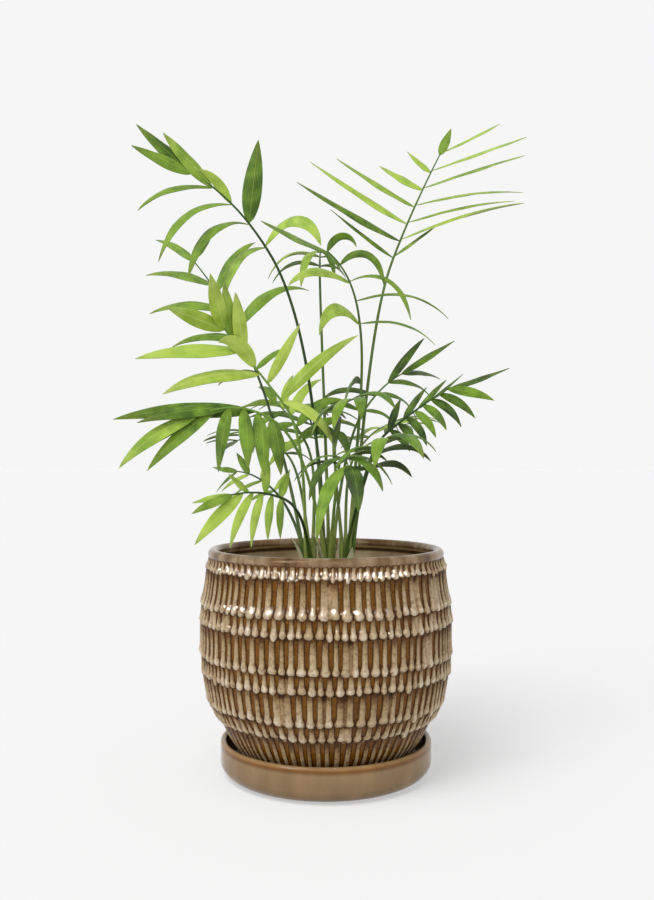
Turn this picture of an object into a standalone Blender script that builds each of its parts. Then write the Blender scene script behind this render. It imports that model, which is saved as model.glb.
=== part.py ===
"""Parlour palm in a glazed pot with rows of drops, standing in its saucer.

Metres, +Z up. The origin is the middle of the saucer's flat underside. The plant's front looks
along -Y. Three short canes stand in the soil. Each carries a ring of leaf stalks, and each stalk
ends at a frond: a thin rib with leaflets on both sides of it.
"""

import math
import random
from collections import namedtuple

import bmesh
import bpy
from mathutils import Vector
from mathutils.bvhtree import BVHTree

MM = 0.001
GAP = 0.3  # clearance between touching pieces, in millimetres
WELD = 0.001  # points nearer than this, in millimetres, are one
ROUND_STEPS = 40

# Saucer, in millimetres
SAUCER_RADIUS = 75.0
SAUCER_HEIGHT = 25.0
SAUCER_WALL = 4.2
SAUCER_FLOOR = 5.0
SAUCER_FOOT_RADIUS = 62.0
SAUCER_CORNER = 10.0
SAUCER_INNER_CORNER = 6.0

# Pot, in millimetres: each tier ends in a row of drops, at this height and radius
POT_TIERS = (
    (145.6, 86.7),
    (120.9, 90.0),
    (108.6, 90.8),
    (85.5, 90.3),
    (73.3, 88.9),
    (52.3, 84.3),
    (41.4, 77.6),
)
POT_STEP = 1.8  # how far the wall steps in under a row of drops
POT_EDGE = 0.6  # rounding of a row's lower edge
POT_RIBS = 30
POT_RIB_DEPTH = 2.2
POT_TOP = 159.7
POT_RIM_RADIUS = 80.4
POT_RIM_HALF = 3.6
POT_LOWER_CURVE = ((70.2, 29.0), (64.5, 20.5), (58.5, 11.8))
POT_FOOT_RADIUS = 57.0
POT_FOOT_EDGE = 1.0
POT_WALL = 7.0
POT_BASE = SAUCER_FLOOR + GAP
POT_FLOOR = POT_BASE + 8.0
POT_INNER_CORNER = ((50.0, POT_FLOOR), (60.0, POT_FLOOR + 8.0))
DRAIN_RADIUS = 7.0

# Soil and canes, in millimetres
SOIL_TOP = 136.0
SOIL_GAP = 0.5
CANE_TOP = 148.0
CANE_FLARE = ((0.0, 0.9), (3.0, 0.3), (8.0, 0.0))  # heights and the radius added there
Cane = namedtuple("Cane", "x y radius ring")
CANES = {
    "left": Cane(-12.5, -4.0, 4.6, 3.15),
    "centre": Cane(1.0, 4.5, 4.8, 3.3),
    "right": Cane(15.0, -3.0, 4.5, 3.05),
}

# Leaf stalks and ribs, in millimetres
STALK_FOOT = 1.35
STALK_TOP = 0.9
RIB_TIP = 0.5
STALK_POINTS = 8
STALK_UPRIGHT = 1.5
SETTING_OFF = 0.9  # how far the foot's heading carries, for the stalk's reach
ARRIVING = 0.75  # how far the rib's heading carries back down the stalk
RIB_POINTS = 8

# Leaflets
LINE_STEPS = 12
LONG_RINGS = (0, 1, 3, 6, 9)
SHORT_RINGS = (0, 2, 5, 9)
SHORT = 48.0  # a leaflet shorter than this has the fewer rings
LEAST_WIDTH = 6.0
WIDEST_AT = 0.75  # power that puts the widest place at two fifths of the length
FULLNESS = 0.8  # power that rounds the blade's outline
THICK_SHARE = 1 / 85
LEAST_THICK = 0.75
ROOT_THICK = 0.8  # share of its thickness at the root
TIP_THINNER = 0.5  # share of its thickness lost towards the tip
ROOT_HALF = 0.42
FOLD = 0.2
CLEAR = 0.4
NUDGES = (0, 7, -7, 14, -14, 21, -21, 30, -30)
RIB_END = 0.99  # share of the rib where the last leaflets grow
STAGGER = 0.015  # the left side's leaflets stand this share lower
SPREAD_JITTER = 3.0
LENGTH_JITTER = 0.04

# A side's leaflets run from the rib's foot to its tip. Each tuple is spread evenly over them:
# lengths in mm, spread from the rib and lift off its plane in degrees, droop towards the ground,
# sky, the share by which the face is turned up to the sky, and broad, a leaflet's width for its
# length. A frond's face is the way its upper side looks, and lean is the share by which the stalk
# already points to the frond at its foot.
Side = namedtuple(
    "Side",
    "count lengths spread droop lift sky first broad",
    defaults=((0,), (0.45,), 0.03, (0.18,)),
)
Frond = namedtuple(
    "Frond",
    "name cane top middle tip right left face lean tint",
    defaults=((0, -1, 0.15), 0.5, "mid"),
)

FRONDS = (
    Frond(
        "upper_left", "centre", (-41.7, -10, 371), (-65.2, -22, 399.5), (-92, -38, 417),
        lean=0.1,
        right=Side(5, lengths=(58, 58, 34, 48, 46), spread=(56, 46, 20, 10, 14),
                   droop=(3.4, 0, 1.2, 0, 0), lift=(5, 0, 0, 8, -8), sky=(0.75, 0, 0.2, 0.3, 0.2),
                   broad=(0.2, 0.24, 0.22, 0.22, 0.22)),
        left=Side(5, lengths=(62, 74, 84, 62, 45), spread=(44, 36, 34, 24, 8),
                  droop=(3, 2.4, 1.9, 1, 0), lift=(25, 25, 20, 10, 0),
                  sky=(0.8, 0.8, 0.75, 0.65, 0.2), broad=(0.18, 0.14, 0.12, 0.14, 0.2)),
    ),
    Frond(
        "upper_right", "right", (49, 15, 369), (66.6, 30, 412), (88.6, 50, 459),
        lean=0.9, tint="light",
        right=Side(7, lengths=(50, 114, 104, 102, 108, 98, 70), spread=(26, 36, 38, 38, 37, 32, 26),
                   droop=(0.1, 0.3, 0.25, 0.3, 0.1, 0.05, 0), lift=(-13, -13, -13, -13, -10, -8, -8),
                   sky=(0.88,), broad=(0.105,)),
        left=Side(7, lengths=(57, 84, 88, 68, 38, 24, 26), spread=(80, 92, 86, 94, 94, 84, 5),
                  droop=(0,), lift=(18, 18, 18, 18, 18, 18, 0),
                  sky=(0.5, 0.5, 0.5, 0.5, 0.3, 0.3, 0.1),
                  broad=(0.11, 0.14, 0.14, 0.16, 0.24, 0.3, 0.28)),
    ),
    Frond(
        "top_centre", "centre", (-4.8, 50, 371), (-4.5, 30, 374), (-4, 8, 372.5), face=(0, -0.3, 1),
        right=Side(3, lengths=(44, 56, 42), spread=(65, 62, 35), droop=(2, 2, 3.6), lift=(20,)),
        left=Side(3, lengths=(26, 24, 32), spread=(70, 60, 35), droop=(2, 2.5, 3.5), lift=(15,)),
    ),
    Frond(
        "inner_right", "right", (24, -12, 316), (16.5, -24, 345), (0.7, -45, 362), lean=0.4,
        right=Side(5, lengths=(58, 72, 64, 46, 28), spread=(84, 84, 78, 84, 80),
                   droop=(1.2, 1.3, 3.1, 4.2, 3.2), lift=(10, -10, 12, -5, 5),
                   sky=(0.75, 0.8, 0.75, 0.65, 0.4), broad=(0.12,)),
        left=Side(3, lengths=(57, 58, 66), spread=(20, 25, 14), droop=(2.6, 1.3, 0),
                  lift=(20, 5, 0), sky=(0.6,)),
    ),
    Frond(
        "bright_left", "left", (-29.7, -25, 261.5), (-51.5, -36, 289), (-68, -50, 309.5),
        tint="bright",
        right=Side(6, lengths=(72, 48, 42, 44, 42, 46), spread=(80, 66, 14, 24, 26, 18),
                   droop=(0.5, 0, 1.5, 0, 0, 0), lift=(5, 10, 10, 15, 5, 5),
                   sky=(0.3, 0.2, 0.2, 0.1, 0.1, 0.2), broad=(0.13, 0.16, 0.26, 0.22, 0.24, 0.26)),
        left=Side(4, lengths=(52, 72, 74, 44), spread=(-130, 45, 42, 26), droop=(1.8, 0.6, 0.3, 0),
                  lift=(10, 15, 10, 0), sky=(0.5, 0.55, 0.5, 0), broad=(0.18, 0.16, 0.16, 0.26)),
    ),
    Frond(
        "left_behind", "left", (-52, 35, 287), (-75.5, 50, 337), (-106, 70, 381),
        right=Side(4, lengths=(33, 72, 54, 34), spread=(60, 52, 48, 60), droop=(0.8, 1.5, 1.2, 0),
                   lift=(0, 0, 5, -15), broad=(0.18, 0.15, 0.18, 0.2)),
        left=Side(5, lengths=(32, 58, 64, 57, 46), spread=(60, 50, 42, 26, 8),
                  droop=(1.2, 0.9, 0.85, 0.7, 0.6), lift=(15, 15, 10, 5, 0)),
    ),
    Frond(
        "lower_left", "centre", (-35.6, -55, 248.5), (-57.3, -70, 255.5), (-81.7, -84, 250),
        right=Side(3, lengths=(90, 62, 60), spread=(-15, 4, 4), droop=(0.3, 0.3, 0.7),
                   lift=(-12, -8, 0), sky=(0.3,), first=0.25, broad=(0.12, 0.16, 0.16)),
        left=Side(6, lengths=(38, 44, 42, 50, 58, 52), spread=(120, 92, 80, 48, 18, 4),
                  droop=(2.6, 2.4, 2.1, 1.3, 0.45, 0.3), lift=(45, 45, 40, 28, 8, 0),
                  sky=(0.3,), broad=(0.3, 0.26, 0.24, 0.17, 0.15, 0.15)),
    ),
    Frond(
        "rim_left", "left", (-28.8, -60, 197), (-43.6, -72, 201), (-59.7, -84, 200),
        tint="light",
        right=Side(4, lengths=(20, 26, 18, 26), spread=(100, 95, 50, 8), droop=(0.2,),
                   lift=(-10,)),
        left=Side(6, lengths=(27, 31, 36, 42, 46, 34), spread=(98, 80, 62, 46, 30, 8),
                  droop=(1.6, 1.8, 1.5, 1, 0.3, 0.2), lift=(15, 15, 12, 6, -4, 0), sky=(0.3,),
                  broad=(0.16, 0.14, 0.12, 0.14, 0.18, 0.18)),
    ),
    Frond(
        "rim_left_behind", "left", (-39, 45, 198), (-55, 62, 209), (-72, 80, 213),
        tint="light",
        right=Side(4, lengths=(20, 22, 30, 34), spread=(80, 60, 30, 2), droop=(0.1,), lift=(0,)),
        left=Side(4, lengths=(24, 28, 28, 26), spread=(50, 45, 35, 40), droop=(0.8,), lift=(15,)),
    ),
    Frond(
        "right_behind", "centre", (28, 38, 258), (43, 52, 277), (60, 66, 290),
        tint="dark",
        right=Side(4, lengths=(42, 50, 54, 50), spread=(34, 24, 18, 6), droop=(1.8, 1.7, 1.1, 0.6),
                   lift=(-10,), broad=(0.16,)),
        left=Side(4, lengths=(34, 48, 52, 58), spread=(100, 116, 12, 0), droop=(0.8, 1.2, 0.3, 0.1),
                  lift=(15,), broad=(0.18, 0.16, 0.13, 0.12)),
    ),
    Frond(
        "lower_right", "right", (44, -8, 242), (64.5, -15, 258), (83.7, -30, 271),
        tint="dark",
        right=Side(8, lengths=(22, 24, 26, 27, 28, 33, 38, 44),
                   spread=(60, 64, 60, 56, 48, 42, 36, 26),
                   droop=(1.2, 1.4, 1.4, 1.2, 1.1, 1, 0.7, 0.3), lift=(15,), sky=(0.25,),
                   broad=(0.2, 0.18, 0.16, 0.15, 0.15, 0.15, 0.15, 0.15)),
        left=Side(5, lengths=(28, 30, 28, 28, 44), spread=(40, 26, 14, 8, -14),
                  droop=(0.6, 0.5, 0.2, 0, 0), lift=(-20, -20, -12, -5, -8), sky=(0.6,)),
    ),
    Frond(
        "front_right", "right", (28, -50, 215), (32.3, -68, 228.4), (37, -90, 234),
        face=(0, -0.4, 1), tint="dark",
        right=Side(3, lengths=(36, 38, 38), spread=(75, 60, 25), droop=(2, 2, 2.4), lift=(20,),
                   broad=(0.26,)),
        left=Side(4, lengths=(38, 42, 46, 46), spread=(75, 62, 44, 22), droop=(1.8, 1.8, 1.8, 1.8),
                  lift=(20,), broad=(0.24,)),
    ),
    Frond(
        "front", "centre", (9, -45, 219), (11, -65, 224), (14, -84, 218), face=(0, -0.4, 1),
        tint="dark",
        right=Side(4, lengths=(36, 40, 47, 60), spread=(75, 66, 56, 46), droop=(1.8, 2, 2.4, 2.6),
                   lift=(20, 20, 20, 14), broad=(0.155,)),
        left=Side(4, lengths=(38, 42, 42, 40), spread=(75, 64, 46, 8), droop=(1.8, 2, 2.2, 2.6),
                  lift=(20,), broad=(0.2, 0.27)),
    ),
    Frond(
        "middle", "right", (7, -2, 240), (12, -14, 259), (22, -34, 264),
        face=(0, -0.5, 1), tint="dark",
        right=Side(5, lengths=(34, 42, 46, 44, 38), spread=(80, 72, 62, 46, 20),
                   droop=(1.4, 1.8, 2.2, 2.2, 1.8), lift=(18,), sky=(0.3,), broad=(0.22,)),
        left=Side(5, lengths=(36, 42, 44, 42, 38), spread=(80, 72, 62, 48, 26),
                  droop=(1.4, 1.8, 2, 2, 1.8), lift=(18,), sky=(0.3,), broad=(0.22,)),
    ),
    Frond(
        "middle_left", "left", (-15.5, 16, 236), (-27, 22, 254), (-38, 34, 265), lean=0.3,
        right=Side(5, lengths=(36, 42, 42, 38, 34), spread=(70, 64, 58, 46, 20),
                   droop=(1.4, 1.4, 1.3, 1.2, 0.9), lift=(8,), sky=(0.3,), broad=(0.2,)),
        left=Side(4, lengths=(34, 40, 38, 32), spread=(70, 60, 50, 20),
                  droop=(1.4, 1.4, 1.2, 0.9), lift=(12,), sky=(0.3,), broad=(0.2,)),
    ),
    Frond(
        "back", "centre", (-8, 60, 238), (-16, 92, 262), (-24, 126, 268), face=(0, 0.3, 1), tint="dark",
        right=Side(6, lengths=(44, 54, 58, 54, 48, 40), spread=(70, 64, 58, 50, 38, 18),
                   droop=(0.8, 1, 1, 1, 0.9, 0.6), lift=(12,)),
        left=Side(6, lengths=(44, 54, 58, 54, 48, 40), spread=(70, 64, 58, 50, 38, 18),
                  droop=(0.8, 1, 1, 1, 0.9, 0.6), lift=(12,)),
    ),
    Frond(
        "back_right", "right", (24, 60, 228), (44, 88, 248), (66, 116, 252), face=(0, 0.3, 1),
        right=Side(5, lengths=(36, 46, 48, 42, 36), spread=(68, 60, 54, 42, 18),
                   droop=(0.9, 1, 1, 0.8, 0.5), lift=(12,)),
        left=Side(5, lengths=(36, 46, 48, 42, 36), spread=(68, 60, 54, 42, 18),
                  droop=(0.9, 1, 1, 0.8, 0.5), lift=(12,)),
    ),
    Frond(
        "back_left", "left", (-30, 55, 226), (-50, 82, 240), (-74, 106, 238), face=(0, 0.3, 1),
        right=Side(5, lengths=(34, 44, 46, 40, 34), spread=(68, 60, 54, 42, 18),
                   droop=(0.9, 1, 1, 0.8, 0.5), lift=(12,)),
        left=Side(5, lengths=(34, 44, 46, 40, 34), spread=(68, 60, 54, 42, 18),
                  droop=(0.9, 1, 1, 0.8, 0.5), lift=(12,)),
    ),
)

# Base colour, roughness and metallic value of each finish
FINISHES = {
    "taupe_glaze": ((0.36, 0.27, 0.18), 0.22, 0.0),
    "saucer_glaze": ((0.28, 0.19, 0.11), 0.2, 0.0),
    "potting_soil": ((0.05, 0.035, 0.025), 0.95, 0.0),
    "green_cane": ((0.16, 0.24, 0.08), 0.5, 0.0),
    "green_stalk": ((0.12, 0.22, 0.06), 0.45, 0.0),
    "leaf_dark": ((0.05, 0.16, 0.03), 0.4, 0.0),
    "leaf_mid": ((0.1, 0.26, 0.04), 0.4, 0.0),
    "leaf_light": ((0.18, 0.36, 0.06), 0.4, 0.0),
    "leaf_bright": ((0.3, 0.48, 0.08), 0.4, 0.0),
}

UP = Vector((0, 0, 1))


def finish(name):
    """The named finish, made once."""
    found = bpy.data.materials.get(name)
    if found:
        return found
    colour, roughness, metallic = FINISHES[name]
    made = bpy.data.materials.new(name)
    made.use_nodes = True
    shader = made.node_tree.nodes["Principled BSDF"]
    shader.inputs["Base Color"].default_value = (*colour, 1)
    shader.inputs["Roughness"].default_value = roughness
    shader.inputs["Metallic"].default_value = metallic
    made.diffuse_color = (*colour, 1)
    return made


def turned(name, profile, closed, finish_name, collection, steps=ROUND_STEPS):
    """A round piece from (radius, height) points in millimetres that run down its outer side."""
    mesh = bpy.data.meshes.new(name)
    edges = [(i, i + 1) for i in range(len(profile) - 1)]
    if closed:
        edges.append((len(profile) - 1, 0))
    mesh.from_pydata([(r * MM, 0, z * MM) for r, z in profile], edges, [])
    piece = bpy.data.objects.new(name, mesh)
    collection.objects.link(piece)
    turn = piece.modifiers.new("turn", "SCREW")
    turn.steps = steps
    turn.render_steps = steps
    turn.use_merge_vertices = True
    turn.merge_threshold = 0.0001
    turn.use_smooth_shade = True
    mesh.materials.append(finish(finish_name))
    return piece


def arc(x, z, radius, start, end, steps):
    """Points round (x, z), from one angle to another in degrees."""
    turns = [math.radians(start + (end - start) * i / steps) for i in range(steps + 1)]
    return [(x + radius * math.cos(a), z + radius * math.sin(a)) for a in turns]


def make_saucer(collection):
    """A shallow dish with a round rim and a flat underside."""
    half = SAUCER_WALL / 2
    corner = SAUCER_INNER_CORNER
    inner = SAUCER_RADIUS - SAUCER_WALL
    profile = [(0, SAUCER_FLOOR)] + arc(inner - corner, SAUCER_FLOOR + corner, corner, -90, 0, 2)
    profile += arc(SAUCER_RADIUS - half, SAUCER_HEIGHT - half, half, 180, 0, 6)
    across = SAUCER_RADIUS - SAUCER_FOOT_RADIUS
    profile += [
        (SAUCER_RADIUS - across * (1 - c), SAUCER_CORNER * (1 - s))
        for c, s in arc(0, 0, 1, 0, 90, 4)
    ]
    return turned("saucer", profile + [(0, 0)], False, "saucer_glaze", collection)


def pot_outside():
    """The tiers from the rim's band to the foot. Each slopes out to its drops, then steps in."""
    points = []
    for height, radius in POT_TIERS:
        points += [(radius - POT_EDGE, height), (radius - POT_STEP, height - POT_EDGE)]
    points += POT_LOWER_CURVE
    points += [(POT_FOOT_RADIUS, POT_BASE + POT_FOOT_EDGE), (POT_FOOT_RADIUS - POT_FOOT_EDGE, POT_BASE)]
    return points


def pot_inside():
    """The inner wall from the floor up to the rim, a wall's thickness in from the tiers."""
    points = [(DRAIN_RADIUS, POT_BASE), (DRAIN_RADIUS, POT_FLOOR), *POT_INNER_CORNER]
    points += [(radius - POT_WALL, height) for height, radius in POT_TIERS[:0:-2]]
    height, radius = POT_TIERS[0]
    inner = radius - POT_WALL
    points += [(inner, height), (inner - POT_EDGE, POT_TOP - 2 * POT_RIM_HALF)]
    return points


def make_pot(collection):
    """The round wall with its rolled rim, ribs down its tiers, and a drain hole in its floor."""
    crest = POT_TOP - POT_RIM_HALF
    rim = arc(POT_RIM_RADIUS, crest, POT_RIM_HALF, 200, -60, 5)
    outside = pot_outside()
    profile = rim + outside + pot_inside()
    steps = 2 * POT_RIBS
    pot = as_mesh(turned("pot", profile, True, "taupe_glaze", collection, steps), collection)
    walls = {round(z, 3): r for r, z in outside[:-2]}
    for vertex in pot.data.vertices:
        x, y, z = vertex.co / MM
        radius = math.hypot(x, y)
        step = round(math.atan2(y, x) / math.tau * steps)
        if step % 2 and abs(walls.get(round(z, 3), 0) - radius) < WELD:
            vertex.co.x *= (radius - POT_RIB_DEPTH) / radius
            vertex.co.y *= (radius - POT_RIB_DEPTH) / radius
    return pot


def make_soil(collection):
    """The soil fills the pot's hollow, just clear of its wall and floor."""
    wall = pot_inside()[3:]
    below = [point for point in wall if point[1] < SOIL_TOP]
    (low_radius, low), (high_radius, high) = below[-1], wall[len(below)]
    edge = low_radius + (high_radius - low_radius) * (SOIL_TOP - low) / (high - low)
    side = [(r - SOIL_GAP, z) for r, z in [(edge, SOIL_TOP)] + below[::-1]]
    bottom = [(POT_INNER_CORNER[0][0] - SOIL_GAP, POT_FLOOR + GAP), (0, POT_FLOOR + GAP)]
    return turned("soil", [(0, SOIL_TOP)] + side + bottom, False, "potting_soil", collection)


def hermite(start, start_run, end, end_run, count):
    """Points on the smooth curve between two ends with the given run at each."""
    points = []
    for i in range(count):
        t = i / (count - 1)
        points.append(
            start * (2 * t**3 - 3 * t**2 + 1)
            + start_run * (t**3 - 2 * t**2 + t)
            + end * (3 * t**2 - 2 * t**3)
            + end_run * (t**3 - t**2)
        )
    return points


def rib_line(frond):
    """Points on the one arc from the stalk's top through the rib's middle to its tip."""
    top, middle, tip = (Vector(p) for p in (frond.top, frond.middle, frond.tip))
    pull = middle * 2 - (top + tip) / 2
    shares = [i / (RIB_POINTS - 1) for i in range(RIB_POINTS)]
    return [top * (1 - t) ** 2 + pull * 2 * t * (1 - t) + tip * t**2 for t in shares]


def stalk_feet():
    """Where each stalk stands on its cane, in a ring ordered by the way the fronds lean."""
    feet = {}
    for name, cane in CANES.items():
        mine = [frond for frond in FRONDS if frond.cane == name]
        leans = {f.name: math.atan2(f.top[1] - cane.y, f.top[0] - cane.x) for f in mine}
        order = sorted(leans, key=leans.get)
        step = math.tau / len(order)
        offset = sum(leans[n] - step * i for i, n in enumerate(order)) / len(order)
        for i, frond_name in enumerate(order):
            x = cane.x + cane.ring * math.cos(offset + step * i)
            y = cane.y + cane.ring * math.sin(offset + step * i)
            feet[frond_name] = Vector((x, y, CANE_TOP + GAP))
    return feet


def stalk_line(frond, foot):
    """Points from the stalk's foot on the cane up to the rib's start, which it meets in line."""
    rib = rib_line(frond)
    heading = (rib[1] - rib[0]).normalized()
    end = rib[0] - heading * GAP
    start = foot + UP * STALK_UPRIGHT
    reach = (end - start).length
    setting_off = UP.lerp((end - start) / reach, frond.lean) * reach * SETTING_OFF
    return [foot] + hermite(start, setting_off, end, heading * reach * ARRIVING, STALK_POINTS)


def tube(name, points, radii, sides_step, finish_name, collection):
    """A tapering round limb along the points, in millimetres, with flat filled ends."""
    curve = bpy.data.curves.new(name, "CURVE")
    curve.dimensions = "3D"
    curve.bevel_depth = MM
    curve.bevel_resolution = sides_step
    curve.use_fill_caps = True
    spline = curve.splines.new("POLY")
    spline.points.add(len(points) - 1)
    for place, point, radius in zip(spline.points, points, radii):
        place.co = (*(point * MM), 1)
        place.radius = radius
    spline.use_smooth = True
    piece = bpy.data.objects.new(name, curve)
    collection.objects.link(piece)
    curve.materials.append(finish(finish_name))
    return piece


def taper(first, last, count):
    return [first + (last - first) * i / (count - 1) for i in range(count)]


def as_mesh(piece, collection):
    """The piece as a plain mesh of the same name, with its points welded."""
    bpy.context.view_layer.update()
    graph = bpy.context.evaluated_depsgraph_get()
    mesh = bpy.data.meshes.new_from_object(piece.evaluated_get(graph))
    name = piece.name
    bpy.data.objects.remove(piece)
    edit = bmesh.new()
    edit.from_mesh(mesh)
    bmesh.ops.remove_doubles(edit, verts=edit.verts, dist=WELD * MM)
    edit.to_mesh(mesh)
    edit.free()
    solid = bpy.data.objects.new(name, mesh)
    collection.objects.link(solid)
    return solid


def along(values, share):
    """The value at this share of the way through an evenly spread tuple."""
    place = share * (len(values) - 1)
    low = min(int(place), len(values) - 2) if len(values) > 1 else 0
    high = min(low + 1, len(values) - 1)
    return values[low] + (values[high] - values[low]) * (place - low)


def rib_at(line, share):
    """The point and heading at this share of the rib."""
    place = share * (len(line) - 1)
    low = min(int(place), len(line) - 2)
    before, after = line[low], line[low + 1]
    return before.lerp(after, place - low), (after - before).normalized()


def across_of(vector, axis):
    """The part of a vector that is square to an axis, at unit length."""
    return (vector - axis * vector.dot(axis)).normalized()


def leaf_line(root, heading, face, length, droop):
    """The blade's middle line as (point, heading, side, normal), which bends towards the ground.

    The bend grows along the blade, and droop is its mean for the whole length.
    """
    heading = heading.normalized()
    normal = across_of(face, heading)
    point = root.copy()
    stations = [(point.copy(), heading, heading.cross(normal), normal)]
    for i in range(LINE_STEPS):
        pull = droop * (0.5 + (i + 0.5) / LINE_STEPS) / LINE_STEPS
        heading = (heading - UP * pull).normalized()
        normal = across_of(normal, heading)
        point = point + heading * (length / LINE_STEPS)
        stations.append((point.copy(), heading, heading.cross(normal), normal))
    return stations


def half_width(share, width):
    """Half the blade's width at this share of its length, never under its root's."""
    half = 0.5 * width * math.sin(math.pi * share**WIDEST_AT) ** FULLNESS
    return max(half, ROOT_HALF) if share < 0.5 else half


def blade(line, length, width, grow=0.0, start=0):
    """Points and faces of one closed leaflet: four-sided rings along the line, then its tip."""
    thick = max(length * THICK_SHARE, LEAST_THICK)
    rings = (SHORT_RINGS if length < SHORT else LONG_RINGS)[start:]
    points = []
    for ring in rings:
        centre, _, side, normal = line[ring]
        share = ring / LINE_STEPS
        half = half_width(share, width) + grow
        deep = 0.5 * thick * (1 - TIP_THINNER * share) * (ROOT_THICK if ring == 0 else 1) + grow
        drop = normal * (half * FOLD)
        points += [centre - side * half - drop, centre + normal * deep]
        points += [centre + side * half - drop, centre - normal * deep]
    faces = [(3, 2, 1, 0)]
    last = 4 * (len(rings) - 1)
    for i in range(0, last, 4):
        for j in range(4):
            a, b = i + j, i + (j + 1) % 4
            far_a, far_b = a + 4, b + 4
            # Both diagonals start on the blade's edge, so that its two faces can't cross there.
            if j % 2 == 0:
                faces += [(a, b, far_b), (a, far_b, far_a)]
            else:
                faces += [(a, b, far_a), (b, far_b, far_a)]
    points.append(line[-1][0] + line[-1][1] * grow)
    faces += [(last + j, last + (j + 1) % 4, last + 4) for j in range(4)]
    return points, faces


def box_of(points):
    low = Vector([min(p[i] for p in points) for i in range(3)])
    high = Vector([max(p[i] for p in points) for i in range(3)])
    return low, high


def obstacle(points, faces):
    """The shape's box and its search tree."""
    low, high = box_of(points)
    return low, high, BVHTree.FromPolygons(points, faces)


def meets(points, faces, obstacles):
    """Whether this shape crosses the surface of any of the obstacles."""
    low, high = box_of(points)
    tree = None
    for other_low, other_high, other in obstacles:
        if any(low[i] > other_high[i] or high[i] < other_low[i] for i in range(3)):
            continue
        tree = tree or BVHTree.FromPolygons(points, faces)
        if tree.overlap(other):
            return True
    return False


def tube_shape(points, radii, sides=6):
    """Points and faces of a round limb, for keeping leaflets clear of it."""
    rings = []
    faces = []
    turns = [math.tau * j / sides for j in range(sides)]
    last = len(points) - 1
    for i, (point, radius) in enumerate(zip(points, radii)):
        heading = (points[min(i + 1, last)] - points[max(i - 1, 0)]).normalized()
        first = across_of(Vector((1, 0.3, 0.1)), heading)
        second = heading.cross(first)
        rings += [point + (first * math.cos(a) + second * math.sin(a)) * radius for a in turns]
        if i < last:
            this = [i * sides + j for j in range(sides)]
            faces += [(a, b, b + sides, a + sides) for a, b in zip(this, this[1:] + this[:1])]
    return rings, faces


def leaflets_of(frond, obstacles, rng):
    """The frond's leaflets as (line, length, width). One that can't be turned clear is left out."""
    line = rib_line(frond)
    found = []
    own = []
    for sign, side, lower in ((1, frond.right, 0), (-1, frond.left, STAGGER)):
        for i in range(side.count):
            share = i / (side.count - 1)
            root, heading = rib_at(line, side.first + (RIB_END - side.first) * share - lower)
            face = across_of(Vector(frond.face), heading)
            out = heading.cross(face) * sign
            spread = along(side.spread, share) + rng.uniform(-SPREAD_JITTER, SPREAD_JITTER)
            length = along(side.lengths, share) * (1 + rng.uniform(-LENGTH_JITTER, LENGTH_JITTER))
            width = max(along(side.broad, share) * length, LEAST_WIDTH)
            turn = math.radians(spread)
            flat = heading * math.cos(turn) + out * math.sin(turn)
            sky = along(side.sky, share)
            for nudge in NUDGES:
                lift = math.radians(along(side.lift, share) + nudge)
                ahead = flat * math.cos(lift) + face * math.sin(lift)
                looks = face * (1 - sky) + UP * sky
                stations = leaf_line(root, ahead, looks, length, along(side.droop, share))
                test = blade(stations, length, width, CLEAR, 1)
                if not meets(*test, obstacles) and not meets(*test, own):
                    found.append((stations, length, width))
                    own.append(obstacle(*blade(stations, length, width, 0, 1)))
                    break
    return found


def fused(rib, leaflets, collection):
    """Joins the leaflets to the rib as one closed body."""
    spare = bpy.data.collections.new(rib.name + "_leaflets")
    collection.children.link(spare)
    for i, (line, length, width) in enumerate(leaflets):
        points, faces = blade(line, length, width)
        mesh = bpy.data.meshes.new(f"{rib.name}_leaflet_{i}")
        mesh.from_pydata([p * MM for p in points], [], faces)
        spare.objects.link(bpy.data.objects.new(mesh.name, mesh))
    join = rib.modifiers.new("join", "BOOLEAN")
    join.operation = "UNION"
    join.operand_type = "COLLECTION"
    join.collection = spare
    join.solver = "EXACT"
    bpy.context.view_layer.update()
    graph = bpy.context.evaluated_depsgraph_get()
    mesh = bpy.data.meshes.new_from_object(rib.evaluated_get(graph))
    rib.modifiers.clear()
    rib.data = mesh
    for piece in list(spare.objects):
        bpy.data.objects.remove(piece)
    bpy.data.collections.remove(spare)


def make_canes(collection):
    """Each cane stands on the soil with a slight flare, and is cut flat on top."""
    for name, cane in CANES.items():
        foot = Vector((cane.x, cane.y, SOIL_TOP + GAP))
        points = [foot + UP * height for height, _ in CANE_FLARE]
        radii = [cane.radius + more for _, more in CANE_FLARE] + [cane.radius]
        points.append(Vector((cane.x, cane.y, CANE_TOP)))
        tube("cane_" + name, points, radii, 4, "green_cane", collection)


def make_fronds(collection):
    """All stalks first, then each frond's leaflets, kept clear of the stalks and one another."""
    feet = stalk_feet()
    rib_radii = taper(STALK_TOP, RIB_TIP, RIB_POINTS)
    obstacles = []
    ribs = {}
    for frond in FRONDS:
        line = stalk_line(frond, feet[frond.name])
        radii = taper(STALK_FOOT, STALK_TOP, len(line))
        tube("stalk_" + frond.name, line, radii, 1, "green_stalk", collection)
        obstacles.append(obstacle(*tube_shape(line, radii)))
        ribs[frond.name] = obstacle(*tube_shape(rib_line(frond), rib_radii))
    for i, frond in enumerate(FRONDS):
        others = [shape for name, shape in ribs.items() if name != frond.name]
        leaflets = leaflets_of(frond, obstacles + others, random.Random(i))
        rib = tube("frond_" + frond.name, rib_line(frond), rib_radii, 0, "leaf_" + frond.tint, collection)
        fused(as_mesh(rib, collection), leaflets, collection)
        obstacles += [obstacle(*blade(*leaflet)) for leaflet in leaflets]


def main():
    for piece in list(bpy.data.objects):
        bpy.data.objects.remove(piece)
    collection = bpy.data.collections.new("parlour_palm")
    bpy.context.scene.collection.children.link(collection)
    make_saucer(collection)
    make_pot(collection)
    make_soil(collection)
    make_canes(collection)
    make_fronds(collection)


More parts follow.
